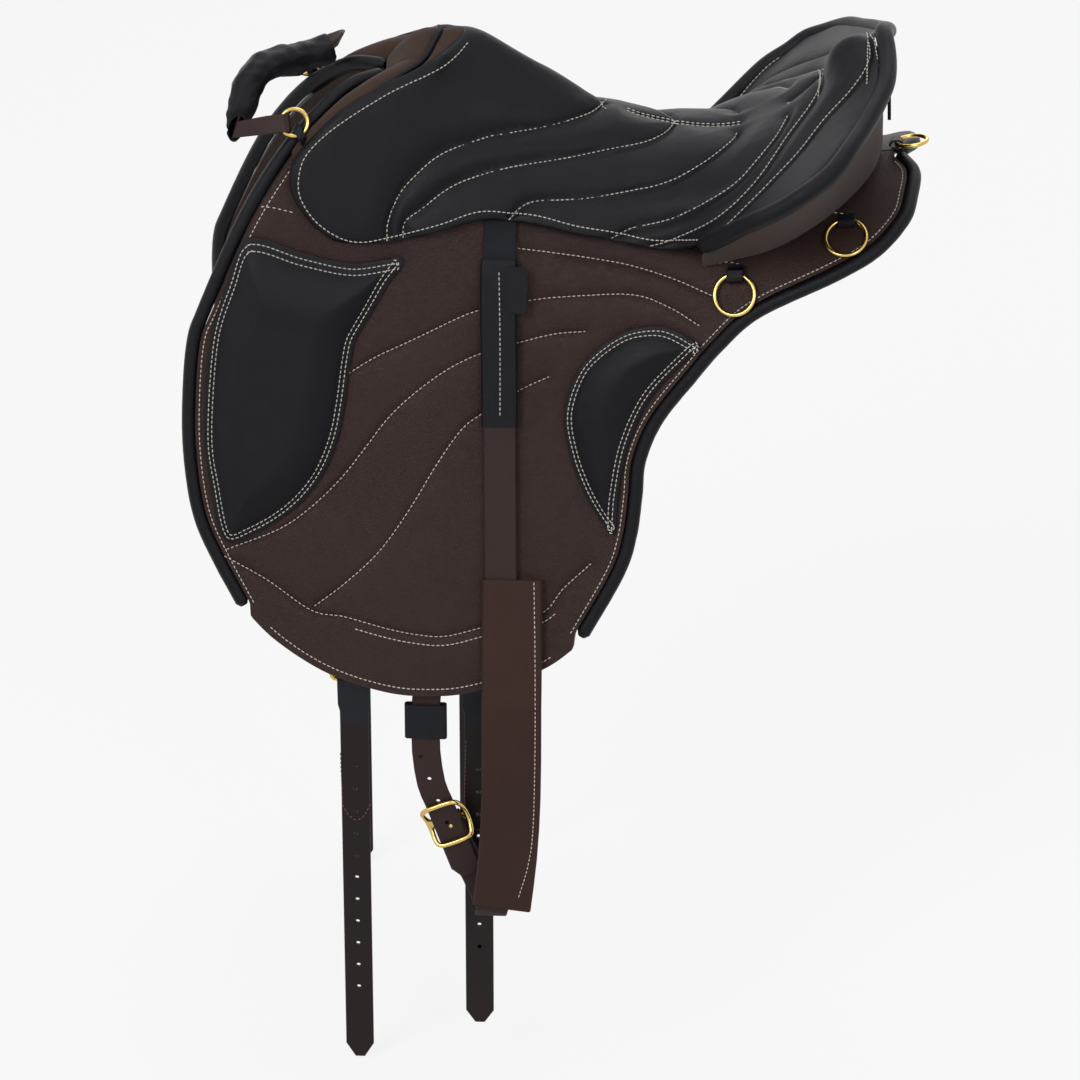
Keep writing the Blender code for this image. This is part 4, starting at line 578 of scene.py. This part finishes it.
def beside(line, distance):
    """A flat line moved to its left by this distance."""
    runs = np.gradient(line, axis=0)
    runs /= np.linalg.norm(runs, axis=1, keepdims=True)
    return line + np.stack([-runs[:, 1], runs[:, 0]], axis=1) * distance


front_cut = beside(front_edge, -BINDING * 2)
rear_cut = beside(rear_edge, BINDING * 2)
front_cut[0, 1] = rear_cut[0, 1] = 0.0004
flap_outline = np.vstack([front_cut, bottom_edge[2:-2], rear_cut[::-1]])
knee_outline = cut(KNEE_ROLL_SHARES, 6, True)
thigh_outline = cut(THIGH_BLOCK_SHARES, 6, True)
flap_seams = [cut(shares) for shares in FLAP_SEAM_SHARES]
flap_blank, flap_faces = blank(flap_outline, flap_seams, FINE)

# The stirrup leather swings over this part of the flap, so the padding lies flatter there. The part's sides
# run down from the pivot, well forward and a little to the rear, past the leather's half width. The off
# side's leather hangs this lead further forward.
SWING_X, SWING_S = -0.0225, 0.105
SWING_HALF = 0.026
SWING_FORWARD, SWING_BACK = math.tan(math.radians(16)), math.tan(math.radians(3))
SWING_FADE = 0.012
OFF_LEAD = 0.028
SWING_PRESS = 0.5


def under_swing(flat):
    """How much each point lies under the swinging stirrup leather, from 0 to 1."""
    below = np.maximum(0, flat[:, 1] - SWING_S)
    front = SWING_X - SWING_HALF - OFF_LEAD - below * SWING_FORWARD
    back = SWING_X + SWING_HALF + below * SWING_BACK
    outside = np.maximum(0, np.maximum(front - flat[:, 0], flat[:, 0] - back))
    return np.exp(-((outside / SWING_FADE) ** 2))


def flap_height(flat):
    """The flap's face above the back: full between the channels, flat under the seat and the blocks."""
    near_seam = np.min([away_from(flat, seam) for seam in flap_seams], axis=0)
    hem = away_from(flat, beside(bottom_edge, HEM_INSET))
    rim = away_from(flat, looped(flap_outline))
    near_block = np.min([away_from(flat, looped(line)) for line in (knee_outline, thigh_outline)], axis=0)
    covered = within(flat, knee_outline) | within(flat, thigh_outline)
    swell = 1 - np.exp(-np.minimum.reduce([near_seam, near_block, hem]) / CHANNEL_REACH)
    swell *= 1 - np.exp(-rim / CHANNEL_REACH)
    swell[covered] = 0
    swell *= np.clip((flat[:, 1] - SMOOTH_DOWN * 0.6) / (SMOOTH_DOWN * 0.4), 0, 1)
    swell *= np.clip((SMOOTH_BACK - flat[:, 0]) / SMOOTH_FADE, 0, 1)
    swell *= 1 - SWING_PRESS * under_swing(flat)
    groove = CHANNEL_CUT * np.exp(-((np.minimum(near_seam, hem) / CHANNEL_WIDTH) ** 2))
    return FLAP_THICKNESS + FLAP_PUFF * swell - groove


def spread(flat, heights):
    """Flat points laid on the back at their heights."""
    return [laid(x, s, h) for (x, s), h in zip(flat, heights)]


flap_top = spread(flap_blank, flap_height(flap_blank))
flap_mesh = shell("flap", flap_top, spread(flap_blank, np.zeros(len(flap_blank))), flap_faces)


def mark_edges(mesh, flat, outline, reach):
    """Stores how close each point of a shell is to the piece's rim, for the worn edges."""
    values = np.exp(-away_from(flat, looped(outline)) / reach)
    stored = mesh.attributes.new("edge", "FLOAT", "POINT")
    stored.data.foreach_set("value", np.concatenate([values, np.ones(len(flat))]).astype(np.float32))


mark_edges(flap_mesh, flap_blank, flap_outline, FLAP_WORN)
dressed("flap_leather", flap_mesh, "brown_leather", "flap")

# The stitching: waxed cream thread, one short raised stitch after another along each seam. A tree lays the
# stitches: it walks along a line, and turns each stitch with the line and with the leather under it.
THREAD_PITCH = 0.0043
THREAD_LENGTH = 0.0034
THREAD_GIRTH = 0.00105
THREAD_LIFT = 0.0002
SOFT_LIFT = 0.0003
LINE_STEP = 0.003
SOFT_STEP = 0.002

tree, given, gives = new_group("stitches", {"Line": "Geometry"}, {"Stitches": "Geometry"}, "GeometryNodeTree")
tree.is_modifier = True
pitch = place_node(tree, "ShaderNodeValue").outputs[0]
pitch.default_value = THREAD_PITCH
curve = place_node(tree, "GeometryNodeMeshToCurve", {"Mesh": given.outputs["Line"]})
steps = {"Curve": curve.outputs[0], "Length": pitch}
walk = place_node(tree, "GeometryNodeResampleCurve", steps, mode="LENGTH")
ball = place_node(tree, "GeometryNodeMeshUVSphere", {"Segments": 8, "Rings": 5, "Radius": 0.5})
shape = {"Geometry": ball.outputs[0], "Scale": (THREAD_LENGTH, THREAD_GIRTH, THREAD_GIRTH)}
stitch = place_node(tree, "GeometryNodeTransform", shape)
run = place_node(tree, "GeometryNodeInputTangent")
out = place_node(tree, "GeometryNodeInputNamedAttribute", {"Name": "out"}, data_type="FLOAT_VECTOR")
turn = place_node(tree, "FunctionNodeAlignRotationToVector", {"Vector": run.outputs[0]}, axis="X")
turn = place_node(
    tree, "FunctionNodeAlignRotationToVector", {"Rotation": turn.outputs[0], "Vector": out.outputs[0]},
    axis="Z", pivot_axis="X",
)
sewn = place_node(tree, "GeometryNodeInstanceOnPoints", {
    "Points": walk.outputs[0], "Instance": stitch.outputs[0], "Rotation": turn.outputs[0],
})
real = place_node(tree, "GeometryNodeRealizeInstances", {"Geometry": sewn.outputs[0]})
smooth = place_node(tree, "GeometryNodeSetShadeSmooth", {"Geometry": real.outputs[0]})
feed(tree, gives, {0: smooth.outputs[0]})
STITCHES = tree


def changed(name, mesh, kind, **settings):
    """The plain mesh that a modifier makes of a mesh."""
    holder = linked(name, mesh)
    step = holder.modifiers.new(name, kind)
    for title, value in settings.items():
        setattr(step, title, value)
    graph = bpy.context.evaluated_depsgraph_get()
    made = bpy.data.meshes.new_from_object(holder.evaluated_get(graph))
    bpy.data.objects.remove(holder)
    return made


def thread_material(name, colour, shade):
    """Waxed thread: two plies twisted together, with a little dirt between them."""
    made, tree, shader = new_finish(name)
    speck = noise(tree, Scale=900.0, Detail=2.0).outputs["Fac"]
    feed(tree, shader, {
        "Base Color": between(tree, speck, (*shade, 1), (*colour, 1)),
        "Roughness": 0.6,
        "Normal": place_node(tree, "ShaderNodeBump", {"Height": speck, "Distance": 0.0001}).outputs[0],
    })
    return made


CREAM_THREAD = thread_material("cream_thread", (0.78, 0.74, 0.66), (0.48, 0.44, 0.38))
RED_THREAD = thread_material("red_thread", (0.22, 0.09, 0.09), (0.12, 0.05, 0.05))


def sewn_lines(name, seams, thread=CREAM_THREAD, body="saddle", slot_name="brown_leather", hands=SIDES):
    """Stitches along seams of (points, directions out of the leather), on each side."""
    points, outs, edges = [], [], []
    for line, out in seams:
        start = len(points)
        points += [tuple(p) for p in line]
        outs += [tuple(v) for v in out]
        edges += [(start + k, start + k + 1) for k in range(len(line) - 1)]
    for side, hand in hands:
        mesh = bpy.data.meshes.new(name)
        mesh.from_pydata([(x, y * hand, z) for x, y, z in points], edges, [])
        aims = np.array([(x, y * hand, z) for x, y, z in outs], np.float32)
        mesh.attributes.new("out", "FLOAT_VECTOR", "POINT").data.foreach_set("vector", aims.ravel())
        made = changed(name, mesh, "NODES", node_group=STITCHES)
        rides = body if body == "saddle" else f"{side}_{body}"
        piece(f"{name}_{side}", made, slot_name, body=rides, finish=thread)


def on_face(flat, face_height):
    """A flat line sewn on a face of this height, with the directions out of it."""
    flat = respaced(flat, LINE_STEP)
    return spread(flat, face_height(flat) + THREAD_LIFT), [off_back(x, s) for x, s in flat]


BINDING_ROW_INSET = 0.0159
BAND_TWIN = 0.0075
band_twin = beside(flap_seams[3], BAND_TWIN)
flap_rows = [
    *flap_seams, band_twin[len(band_twin) // 3:-len(band_twin) // 6], beside(bottom_edge, -HEM_INSET)[6:-6],
    beside(front_edge, -BINDING_ROW_INSET)[3:], beside(rear_edge, BINDING_ROW_INSET)[3:],
]
sewn_lines("flap_stitches", [on_face(row, flap_height) for row in flap_rows])

# Edge bindings: a roll of black leather round a soft filling, sewn along the front and rear edges. It ends
# in a cut end at each bottom corner, and short creases show where it turns.
BINDING_SIDES = 20
BINDING_STEP = 0.004
BINDING_RIPPLE = 0.012
ROLL_END = 0.55


def rolled(name, line, radius, sides=BINDING_SIDES, ripple=0.0):
    """A round roll along a line, with slight creases across it and rounded ends, as a closed mesh."""
    line = [Vector(p) for p in line]
    count = len(line)
    points, faces = [], []
    frame_side = Vector((0, 1, 0))
    rng = np.random.default_rng(7)
    waves = rng.uniform(-1, 1, (count, sides))
    for i, here in enumerate(line):
        run = (line[min(i + 1, count - 1)] - line[max(i - 1, 0)]).normalized()
        frame_side = (frame_side - run * frame_side.dot(run)).normalized()
        over = run.cross(frame_side)
        end = min(i, count - 1 - i)
        size = radius * min(1.0, ROLL_END + (1 - ROLL_END) * end)
        for k in range(sides):
            turned = 2 * math.pi * k / sides
            grow = size * (1 + ripple * waves[i, k])
            points.append(here + (frame_side * math.cos(turned) + over * math.sin(turned)) * grow)
    for i in range(count - 1):
        for k in range(sides):
            after = (k + 1) % sides
            faces.append((i * sides + k, i * sides + after, (i + 1) * sides + after, (i + 1) * sides + k))
    for start in (0, (count - 1) * sides):
        faces.append(tuple(range(start, start + sides)))
    mesh = bpy.data.meshes.new(name)
    mesh.from_pydata([tuple(p) for p in points], [], faces)
    facing_out(mesh)
    return mesh


for binding, edge_line, inward in (("front_binding", front_edge, -1), ("rear_binding", rear_edge, 1)):
    flat = respaced(beside(edge_line, inward * BINDING), BINDING_STEP)
    mesh = rolled(binding, [laid(x, s, FLAP_THICKNESS / 2) for x, s in flat], BINDING, ripple=BINDING_RIPPLE)
    dressed(f"{binding}_roll", mesh, "black_leather", binding)

# Knee roll and thigh block: firm pads under smooth black leather, sewn down with two rows of thread. The
# leather is stretched tight over them, so the crown is round and only the sewn edge shows small puckers.
BLOCK_EDGE = 0.0038
BLOCK_LIFT = 0.0009
BLOCK_SHOULDER = 0.034
SEWN_ROWS = (0.0034, 0.0070)
SEWN_DIP = 0.0008
PUCKER_HEIGHT, PUCKER_PLACE, PUCKER_REACH = 0.00025, 0.012, 0.006
PUCKER_WAVES = (900, 700)
PAD_ROUND = 0.002
PADS = (("knee_roll", knee_outline, 0.0185), ("thigh_block", thigh_outline, 0.0150))


def pad_height(flat, outline, crown):
    """The pad's face: a flat sewn edge, then a quick shoulder, then the crown."""
    reach = away_from(flat, looped(outline))
    past = np.clip((reach - sum(SEWN_ROWS) / 2) / BLOCK_SHOULDER, 0, 1)
    shoulder = np.sin(past * math.pi / 2) ** 0.8
    dips = sum(np.exp(-(((reach - inset) / CHANNEL_WIDTH) ** 2)) for inset in SEWN_ROWS)
    pucker = np.sin(flat @ PUCKER_WAVES) * np.exp(-(((reach - PUCKER_PLACE) / PUCKER_REACH) ** 2))
    rolled_edge = np.clip(reach / PAD_ROUND, 0, 1)
    face = BLOCK_EDGE * (0.55 + 0.45 * rolled_edge) + (crown - BLOCK_EDGE) * shoulder
    return FLAP_THICKNESS + BLOCK_LIFT + face - SEWN_DIP * dips + PUCKER_HEIGHT * pucker


for name, outline, crown in PADS:
    flat, faces = blank(outline, [], FINE * 0.8)
    base = np.full(len(flat), FLAP_THICKNESS + BLOCK_LIFT)
    mesh = shell(name, spread(flat, pad_height(flat, outline, crown)), spread(flat, base), faces)
    mark_edges(mesh, flat, outline, PAD_ROUND)
    dressed(f"{name}_pad", mesh, "black_leather", name)
    after = np.roll(outline, -1, axis=0)
    winding = np.sign(np.sum(outline[:, 0] * after[:, 1] - after[:, 0] * outline[:, 1]))
    rows = [
        on_face(beside(looped(outline), inset * winding), lambda row: pad_height(row, outline, crown))
        for inset in SEWN_ROWS
    ]
    sewn_lines(f"{name}_stitches", rows, slot_name="black_leather")

# The seat cover: one soft black leather skin over foam, quilted in long channels that follow the rider's
# leg and run up the cantle. Its stitch lines are laid on it along lines of sight, and mirrored.
SEAT_LINES = (
    # three that fan out over the seat's front lobe
    ((606, 100), (589, 113), (552, 125), (509, 133), (484, 138), (440, 155), (410, 181), (397, 199),
     (388, 222), (387, 240)),
    ((675, 122), (664, 133), (644, 142), (609, 149), (566, 158), (517, 166), (484, 174), (451, 187),
     (423, 208), (405, 222), (403, 240)),
    ((510, 219), (520, 208), (537, 201), (580, 199), (623, 192), (667, 182), (704, 162), (730, 142),
     (737, 133)),
    # three that sweep up the cantle
    ((612, 238), (632, 228), (664, 221), (695, 208), (733, 185), (755, 162), (776, 136), (787, 117)),
    ((652, 246), (678, 237), (718, 217), (755, 182), (787, 136), (810, 105), (820, 85), (819, 70)),
    ((711, 240), (735, 217), (770, 182), (799, 151), (824, 119), (853, 87), (869, 59), (867, 33)),
)
CENTRE_LINES = (
    # how far across each row lies, pixels
    ((-0.0028, 0.0028), ((486, 31), (537, 62), (606, 96), (675, 120), (738, 132))),
    ((-0.0004,), ((788, 112), (820, 67), (827, 51), (853, 32), (868, 28))),
)
COVER_PUFF = 0.0064
COVER_REACH = 0.0100
COVER_CUT = 0.0019
CALM_BEND, CALM_RISE = math.radians(55), 0.1
PAIR_BEND, PAIR_SKEW = math.radians(40), math.radians(60)


def solid(node):
    """The mesh of a CAD node."""
    return frame["nodes"][node].data


def finished(name, work):
    """The mesh that the work on it has come to."""
    mesh = bpy.data.meshes.new(name)
    work.to_mesh(mesh)
    work.free()
    return mesh


def cad_copy(name, node, levels=0, plump=0.0, calm=0):
    """A CAD node's mesh with its triangles paired up: grown, its top calmed, and rounded by subdivision."""
    work = bmesh.new()
    work.from_mesh(solid(node))
    bmesh.ops.remove_doubles(work, verts=work.verts, dist=NUDGE / 10)
    bmesh.ops.join_triangles(
        work, faces=work.faces, angle_face_threshold=PAIR_BEND, angle_shape_threshold=PAIR_SKEW
    )
    work.normal_update()
    moves = [v.normal * plump for v in work.verts]
    for v, move in zip(work.verts, moves):
        v.co += move
    if calm:
        bends = {v: max((e.calc_face_angle(0) for e in v.link_edges), default=0) for v in work.verts}
        level = [v for v, bend in bends.items() if v.normal.z > CALM_RISE and bend < CALM_BEND]
        axes = {"use_axis_x": True, "use_axis_y": True, "use_axis_z": True}
        for _ in range(calm):
            bmesh.ops.smooth_vert(work, verts=level, factor=0.5, **axes)
    mesh = finished(name, work)
    if levels:
        mesh = changed(name, mesh, "SUBSURF", levels=levels, render_levels=levels)
    for title in ("sharp_face", "sharp_edge"):
        if title in mesh.attributes:
            mesh.attributes.remove(mesh.attributes[title])
    facing_out(mesh)
    return mesh


def tree_of(mesh):
    """The mesh's faces, sorted for lines of sight."""
    places = [v.co.copy() for v in mesh.vertices]
    return BVHTree.FromPolygons(places, [tuple(f.vertices) for f in mesh.polygons])


cover_mesh = cad_copy("seat_cover", "seat_cover", levels=3, calm=7)
cover_tree = tree_of(cover_mesh)


def on_leather(pixels, tree, step=LINE_STEP):
    """A line of pixels laid on a surface along the camera's lines of sight."""
    places = []
    for pixel in curved(pixels, 6):
        place, out, _, _ = tree.ray_cast(view_place, sight(pixel))
        if place is not None:
            places.append((*place, *out))
    return eased(respaced(places, step))


def eased(line, rounds=6):
    """The line with small jogs between its points smoothed away."""
    for _ in range(rounds):
        line[1:-1] = line[1:-1] / 2 + (line[:-2] + line[2:]) / 4
    return line


seat_seams = [on_leather(pixels, cover_tree)[:, :3] for pixels in SEAT_LINES]
centre_seams = [on_leather(pixels, cover_tree)[:, :3] * (1, 0, 1) for _, pixels in CENTRE_LINES]


def triples(items, title):
    """A vector of each item, as an array."""
    made = np.zeros(len(items) * 3)
    items.foreach_get(title, made)
    return made.reshape(-1, 3)


def push_out(mesh, heights):
    """Moves each point of a skin straight out by its own height."""
    moved = triples(mesh.vertices, "co") + triples(mesh.vertex_normals, "vector") * heights[:, None]
    mesh.vertices.foreach_set("co", moved.ravel())
    mesh.update()


CREASE_DEPTH = 0.00022
CREASE_REACH = 0.014
CREASE_SIZE = 0.0075
CRINKLE_WAVES, CRINKLE_SPREAD = 14, (0.6, 1.7)


def crinkle(points, size, seed):
    """Uneven small folds: waves of about this length in many directions, from about -1 to 1."""
    rng = np.random.default_rng(seed)
    total = np.zeros(len(points))
    for _ in range(CRINKLE_WAVES):
        aim = rng.normal(size=3)
        aim *= 2 * math.pi / (size * rng.uniform(*CRINKLE_SPREAD) * np.linalg.norm(aim))
        total += np.sin(points @ aim + rng.uniform(0, 6.28))
    return total / 6


def quilt(mesh, lines):
    """Swells a skin between its seams and sinks it at them. The seams hold for both sides."""
    points = triples(mesh.vertices, "co")
    folded = np.stack([points[:, 0], -np.abs(points[:, 1]), points[:, 2]], axis=1)
    nearest = np.min([away_from(folded, line) for line in lines], axis=0)
    creases = crinkle(points, CREASE_SIZE, 3) * np.exp(-nearest / CREASE_REACH) * CREASE_DEPTH
    swell = creases + COVER_PUFF * (1 - np.exp(-nearest / COVER_REACH)) - COVER_PUFF / 2
    groove = COVER_CUT * np.exp(-((nearest / CHANNEL_WIDTH) ** 2))
    topside = np.clip((triples(mesh.vertex_normals, "vector")[:, 2] + 0.35) * 3, 0, 1)
    push_out(mesh, (swell - groove) * topside)


quilt(cover_mesh, seat_seams + centre_seams)
piece("seat_cover_leather", cover_mesh, "black_leather", "seat_cover")
sunk_tree = tree_of(cover_mesh)

# The cover's own edge is turned in and sewn down with one row, and a second row follows the cantle's roll.
COVER_EDGE = (
    (470, 28), (440, 59), (386, 86), (332, 120), (301, 149), (291, 175), (293, 201), (310, 227),
    (336, 245), (360, 250), (388, 246), (440, 233), (479, 220), (510, 221), (537, 224), (575, 234),
    (612, 240), (652, 248), (701, 248),
)
CANTLE_ROW = (
    (722, 232), (740, 222), (784, 202), (816, 179), (844, 148), (867, 113), (880, 76), (880, 50), (871, 36),
)
EDGE_ROW_PIXELS = 8
ABOVE_SEAT = 0.02


def lifted(line, lift=SOFT_LIFT, shift=(0, 0, 0)):
    """A row laid on leather, raised off it a little, with the directions out of it."""
    return line[:, :3] + shift + line[:, 3:] * lift, line[:, 3:]


edge_row = beside(curved(COVER_EDGE, 3), -EDGE_ROW_PIXELS)[1:]
side_rows = [on_leather(pixels, sunk_tree, SOFT_STEP) for pixels in (*SEAT_LINES, edge_row, CANTLE_ROW)]
sewn_lines("seat_stitches", [lifted(line[2:-2]) for line in side_rows], slot_name="black_leather")
mid_rows = []
for (across, _), line in zip(CENTRE_LINES, centre_seams):
    for shift in across:
        row = []
        for x, _, z in eased(line, 20):
            place, out, _, _ = sunk_tree.ray_cast(Vector((x, shift, z + ABOVE_SEAT)), Vector((0, 0, -1)))
            if place is not None:
                row.append((*place, *out))
        mid_rows.append(lifted(eased(np.array(row))))
sewn_lines("seat_centre_stitches", mid_rows, slot_name="black_leather", hands=SIDES[:1])

# Cantle and pommel: the wide black roll round the cantle, brown nubuck gussets under it and in front, and
# the thin piping between the pommel's two layers.
def redressed(name, node, slot_name, levels, plump=0.0, body="saddle"):
    """A CAD node's own shape, rounded off, in its real finish."""
    piece(name, cad_copy(name, node, levels, plump), slot_name, node, body)


redressed("cantle_roll", "cantle_binding", "black_leather", 2, 0.0019)
redressed("cantle_gusset_wall", "cantle_gusset", "nubuck", 2)
redressed("cantle_oval", "cantle_tab", "black_leather", 0)

# The pommel's gusset: soft nubuck folded forward from under the seat's edge to the front binding. A black
# piping is sewn across it near the top and runs in under the seat on each side.
GUSSET_FOOT = (0.0008, 0.068)
GUSSET_TOP = (
    (-0.102, 0.007, 0.052), (-0.121, 0.017, 0.045), (-0.140, 0.026, 0.038), (-0.160, 0.035, 0.031),
    (-0.181, 0.048, 0.025), (-0.203, 0.062, 0.018), (-0.212, 0.070, 0.014),
)
SEAT_TIP = (-0.063, 0.0, 0.121)
GUSSET_BULGE = (0.0165, 0.0055)
GUSSET_ACROSS, GUSSET_DOWN = 30, 40
GUSSET_THICK = 0.004
GUSSET_GAP = 0.0012
PIPING_RADIUS = 0.0028
PIPING_START, PIPING_END = 0.72, 1.02
PIPING_RUN = 0.62
PIPING_SINK = 0.0040
PIPING_GROOVE = 0.07
BULGE_ROUND = 0.85
foot_flat = beside(front_edge, -2 * BINDING - GUSSET_GAP)
kept = (foot_flat[:, 1] > GUSSET_FOOT[0]) & (foot_flat[:, 1] < GUSSET_FOOT[1])
foot_flat = respaced(foot_flat[kept], LINE_STEP)
foot = [Vector((foot_flat[0][0], 0, laid(foot_flat[0][0], 0, FLAP_THICKNESS).z))]
foot = respaced(foot + [laid(x, s, FLAP_THICKNESS * 0.7) for x, s in foot_flat[1:]], count=GUSSET_DOWN)
head = curved([SEAT_TIP] + [tuple(laid(x, s, n)) for x, s, n in GUSSET_TOP], 6)
head = respaced(head, count=GUSSET_DOWN)
downs = np.linspace(0, 1, GUSSET_DOWN)
chord = head - foot
run = np.gradient((foot + head) / 2, axis=0)
run[0] = (0, -1, 0)
fronts = -np.cross(chord, run)
fronts /= np.linalg.norm(fronts, axis=1, keepdims=True)
pipe_at = PIPING_START + (PIPING_END - PIPING_START) * np.minimum(1, downs / PIPING_RUN) ** 1.4
bulges = GUSSET_BULGE[0] + (GUSSET_BULGE[1] - GUSSET_BULGE[0]) * downs**0.7
shares = np.linspace(0, 1, GUSSET_ACROSS)
grid = []
for place, over, front, pipe, bulge in zip(foot, chord, fronts, pipe_at, bulges):
    groove = PIPING_SINK * np.exp(-(((shares - pipe) / PIPING_GROOVE) ** 2))
    high = bulge * np.sin(math.pi * shares) ** BULGE_ROUND - groove
    grid.append(place + over * shares[:, None] + front * high[:, None])


def both_ways(rows):
    """The rows of the off side from its end to the middle, then those of the near side."""
    return np.concatenate([(rows * (1, -1, 1))[:0:-1], rows])


grid = both_ways(np.array(grid))
inward = both_ways(fronts)[:, None] * GUSSET_THICK
rows, columns = grid.shape[:2]
quads = [
    (r * columns + c, r * columns + c + 1, (r + 1) * columns + c + 1, (r + 1) * columns + c)
    for r in range(rows - 1) for c in range(columns - 1)
]
mesh = shell("pommel_gusset", grid.reshape(-1, 3), (grid - inward).reshape(-1, 3), quads)
piece("pommel_gusset_skin", mesh, "nubuck", "pommel_gusset")
shown = pipe_at < PIPING_END - 0.01
pipe_height = (bulges * np.sin(math.pi * np.minimum(pipe_at, 1)) ** BULGE_ROUND)[:, None] - PIPING_SINK * 0.35
pipe_line = (foot + chord * pipe_at[:, None] + fronts * pipe_height)[shown]
mesh = rolled("pommel_piping", both_ways(pipe_line), PIPING_RADIUS, sides=12)
piece("pommel_piping_roll", mesh, "black_leather", "pommel_piping")

# The grab handle's cover: thin soft leather wrapped round the strap, so it is full of small folds.
WRAP_FOLD = 0.0011
LARGE_FOLDS, SMALL_FOLDS = 0.016, 0.006
mesh = cad_copy("handle_wrap", "handle_wrap", levels=3)
points = triples(mesh.vertices, "co")
folds = crinkle(points, LARGE_FOLDS, 5) + crinkle(points, SMALL_FOLDS, 9) * 0.25
push_out(mesh, (folds - 0.5) * WRAP_FOLD)
piece("handle_wrap_leather", mesh, "black_leather", "handle_wrap")

# A blank name tag is sewn into the hanger sleeve's rear edge, and a brass stud holds the holed strap.
TAG_PIXEL, TAG_SHIFT = (509, 290), 0.0062
TAG_HALF_WIDE, TAG_HALF_TALL, TAG_CORNER = 0.0095, 0.0205, 0.0020
TAG_THICK, TAG_GAP = 0.0012, 0.0003
STUD_PIXEL, STUD_SIZE, STUD_FLAT = (451, 826), 0.0020, 0.6


def lead_of(stem, hand):
    """How far this side's piece lies from the mirror image of the near side's."""
    if hand > 0:
        return np.zeros(3)
    near, off = (triples(solid(f"{stem}_{side}").vertices, "co").mean(0) for side in ("near", "off"))
    return off - near * (1, -1, 1)


def on_strap(name, mesh, slot_name, stem):
    """A small piece on each side's stirrup leather, moved on the off side with the strap it sits on."""
    for side, hand in SIDES:
        one = to_side(mesh, hand)
        one.transform(Matrix.Translation(lead_of(stem, hand)))
        piece(f"{name}_{side}", one, slot_name, body=f"{side}_stirrup_loop")


place, out, _, _ = tree_of(solid("hanger_sleeve_near")).ray_cast(view_place, sight(TAG_PIXEL))
wide = (Vector((1, 0, 0)) - out * out.x).normalized()
tall = out.cross(wide)
corners = []
ends = [(TAG_HALF_WIDE, TAG_HALF_TALL - TAG_CORNER), (TAG_HALF_WIDE - TAG_CORNER, TAG_HALF_TALL)]
for sx, sy in ((1, 1), (-1, 1), (-1, -1), (1, -1)):
    corners += [place + wide * (sx * w + TAG_SHIFT) + tall * (sy * h) for w, h in ends[::sx * sy]]
top, under = ([p + out * high for p in corners] for high in (TAG_GAP + TAG_THICK, TAG_GAP))
mesh = shell("name_tag", top, under, [tuple(range(len(corners)))])
on_strap("name_tag", mesh, "black_leather", "hanger_sleeve")
place, out, _, _ = tree_of(solid("holed_strap_near")).ray_cast(view_place, sight(STUD_PIXEL))
work = bmesh.new()
dome = turned_to(place, out) @ Matrix.Diagonal((1, 1, STUD_FLAT, 1))
bmesh.ops.create_uvsphere(work, u_segments=20, v_segments=12, radius=STUD_SIZE, matrix=dome)
mesh = finished("buckle_stud", work)
facing_out(mesh)
on_strap("buckle_stud", mesh, "brass", "holed_strap")

# Short rows on the flap: across the plain patch over the knee roll, and over each ring tab's slot.
FLAP_ROWS = (
    ((257, 206), (274, 208), (291, 212)),
    ((829, 213), (838, 213), (848, 215)),
    ((720, 263), (729, 262), (738, 264)),
)
flap_tree = tree_of(flap_mesh)
sewn_lines("flap_short_rows", [lifted(on_leather(pixels, flap_tree, SOFT_STEP)) for pixels in FLAP_ROWS])

slots = {entry["node"]: entry["material_slot"] for entry in frame["record"]["subparts"]}
body_of = {n: body for body, held in frame["record"]["behaviour"]["bodies"].items() for n in held}

# The brass: each ring, and each buckle's cast frame, is round in section and polished.
BRASS_PLUMP = 0.0003
for node, title in slots.items():
    if title == "brass":
        redressed(f"{node}_bright", node, "brass", 2, BRASS_PLUMP, body=body_of[node])

# Soft insides: the underside panels, the seat's foam core and the cantle's wedge, rounded off.
for node, grow in (("panel_near", 0.0), ("panel_off", 0.0), ("seat_core", 0.0), ("cantle_wedge", 0.0022)):
    redressed(f"{node}_soft", node, slots[node], 1, grow)

# Straps: their sewing is laid on their faces along lines of sight, and repeated on the off side, whose
# straps hang a little further forward.
STRAP_ROWS = (
    # node, body, thread, pixels
    ("hanger_sleeve", "stirrup_loop", CREAM_THREAD, ((499, 274), (500, 340), (500, 414))),
    ("fender_sleeve", "stirrup_loop", CREAM_THREAD,
     ((534, 584), (535, 660), (535, 750), (533, 830), (528, 866), (519, 896))),
    ("front_billet", "front_billet", RED_THREAD,
     ((340, 733), (341, 765), (341, 800), (357, 822), (371, 800), (370, 765), (369, 735))),
    ("rear_billet", "rear_billet", RED_THREAD,
     ((466, 742), (465, 780), (465, 812), (478, 832), (490, 812), (490, 780), (490, 742))),
)
for stem, body, thread, pixels in STRAP_ROWS:
    line = on_leather(pixels, tree_of(solid(f"{stem}_near")))
    for side, hand in SIDES:
        row = lifted(line, THREAD_LIFT, lead_of(stem, hand) * (1, hand, 1))
        sewn_lines(f"{stem}_stitches", [row], thread, body, slots[f"{stem}_near"], ((side, hand),))

# What is left keeps its solid's own shape and takes its real finish.
for node, carried in frame["nodes"].items():
    if not carried.hide_render:
        carried.data.materials.clear()
        carried.data.materials.append(FINISHES[slots[node]])

bpy.context.scene.view_settings.view_transform = "Standard"
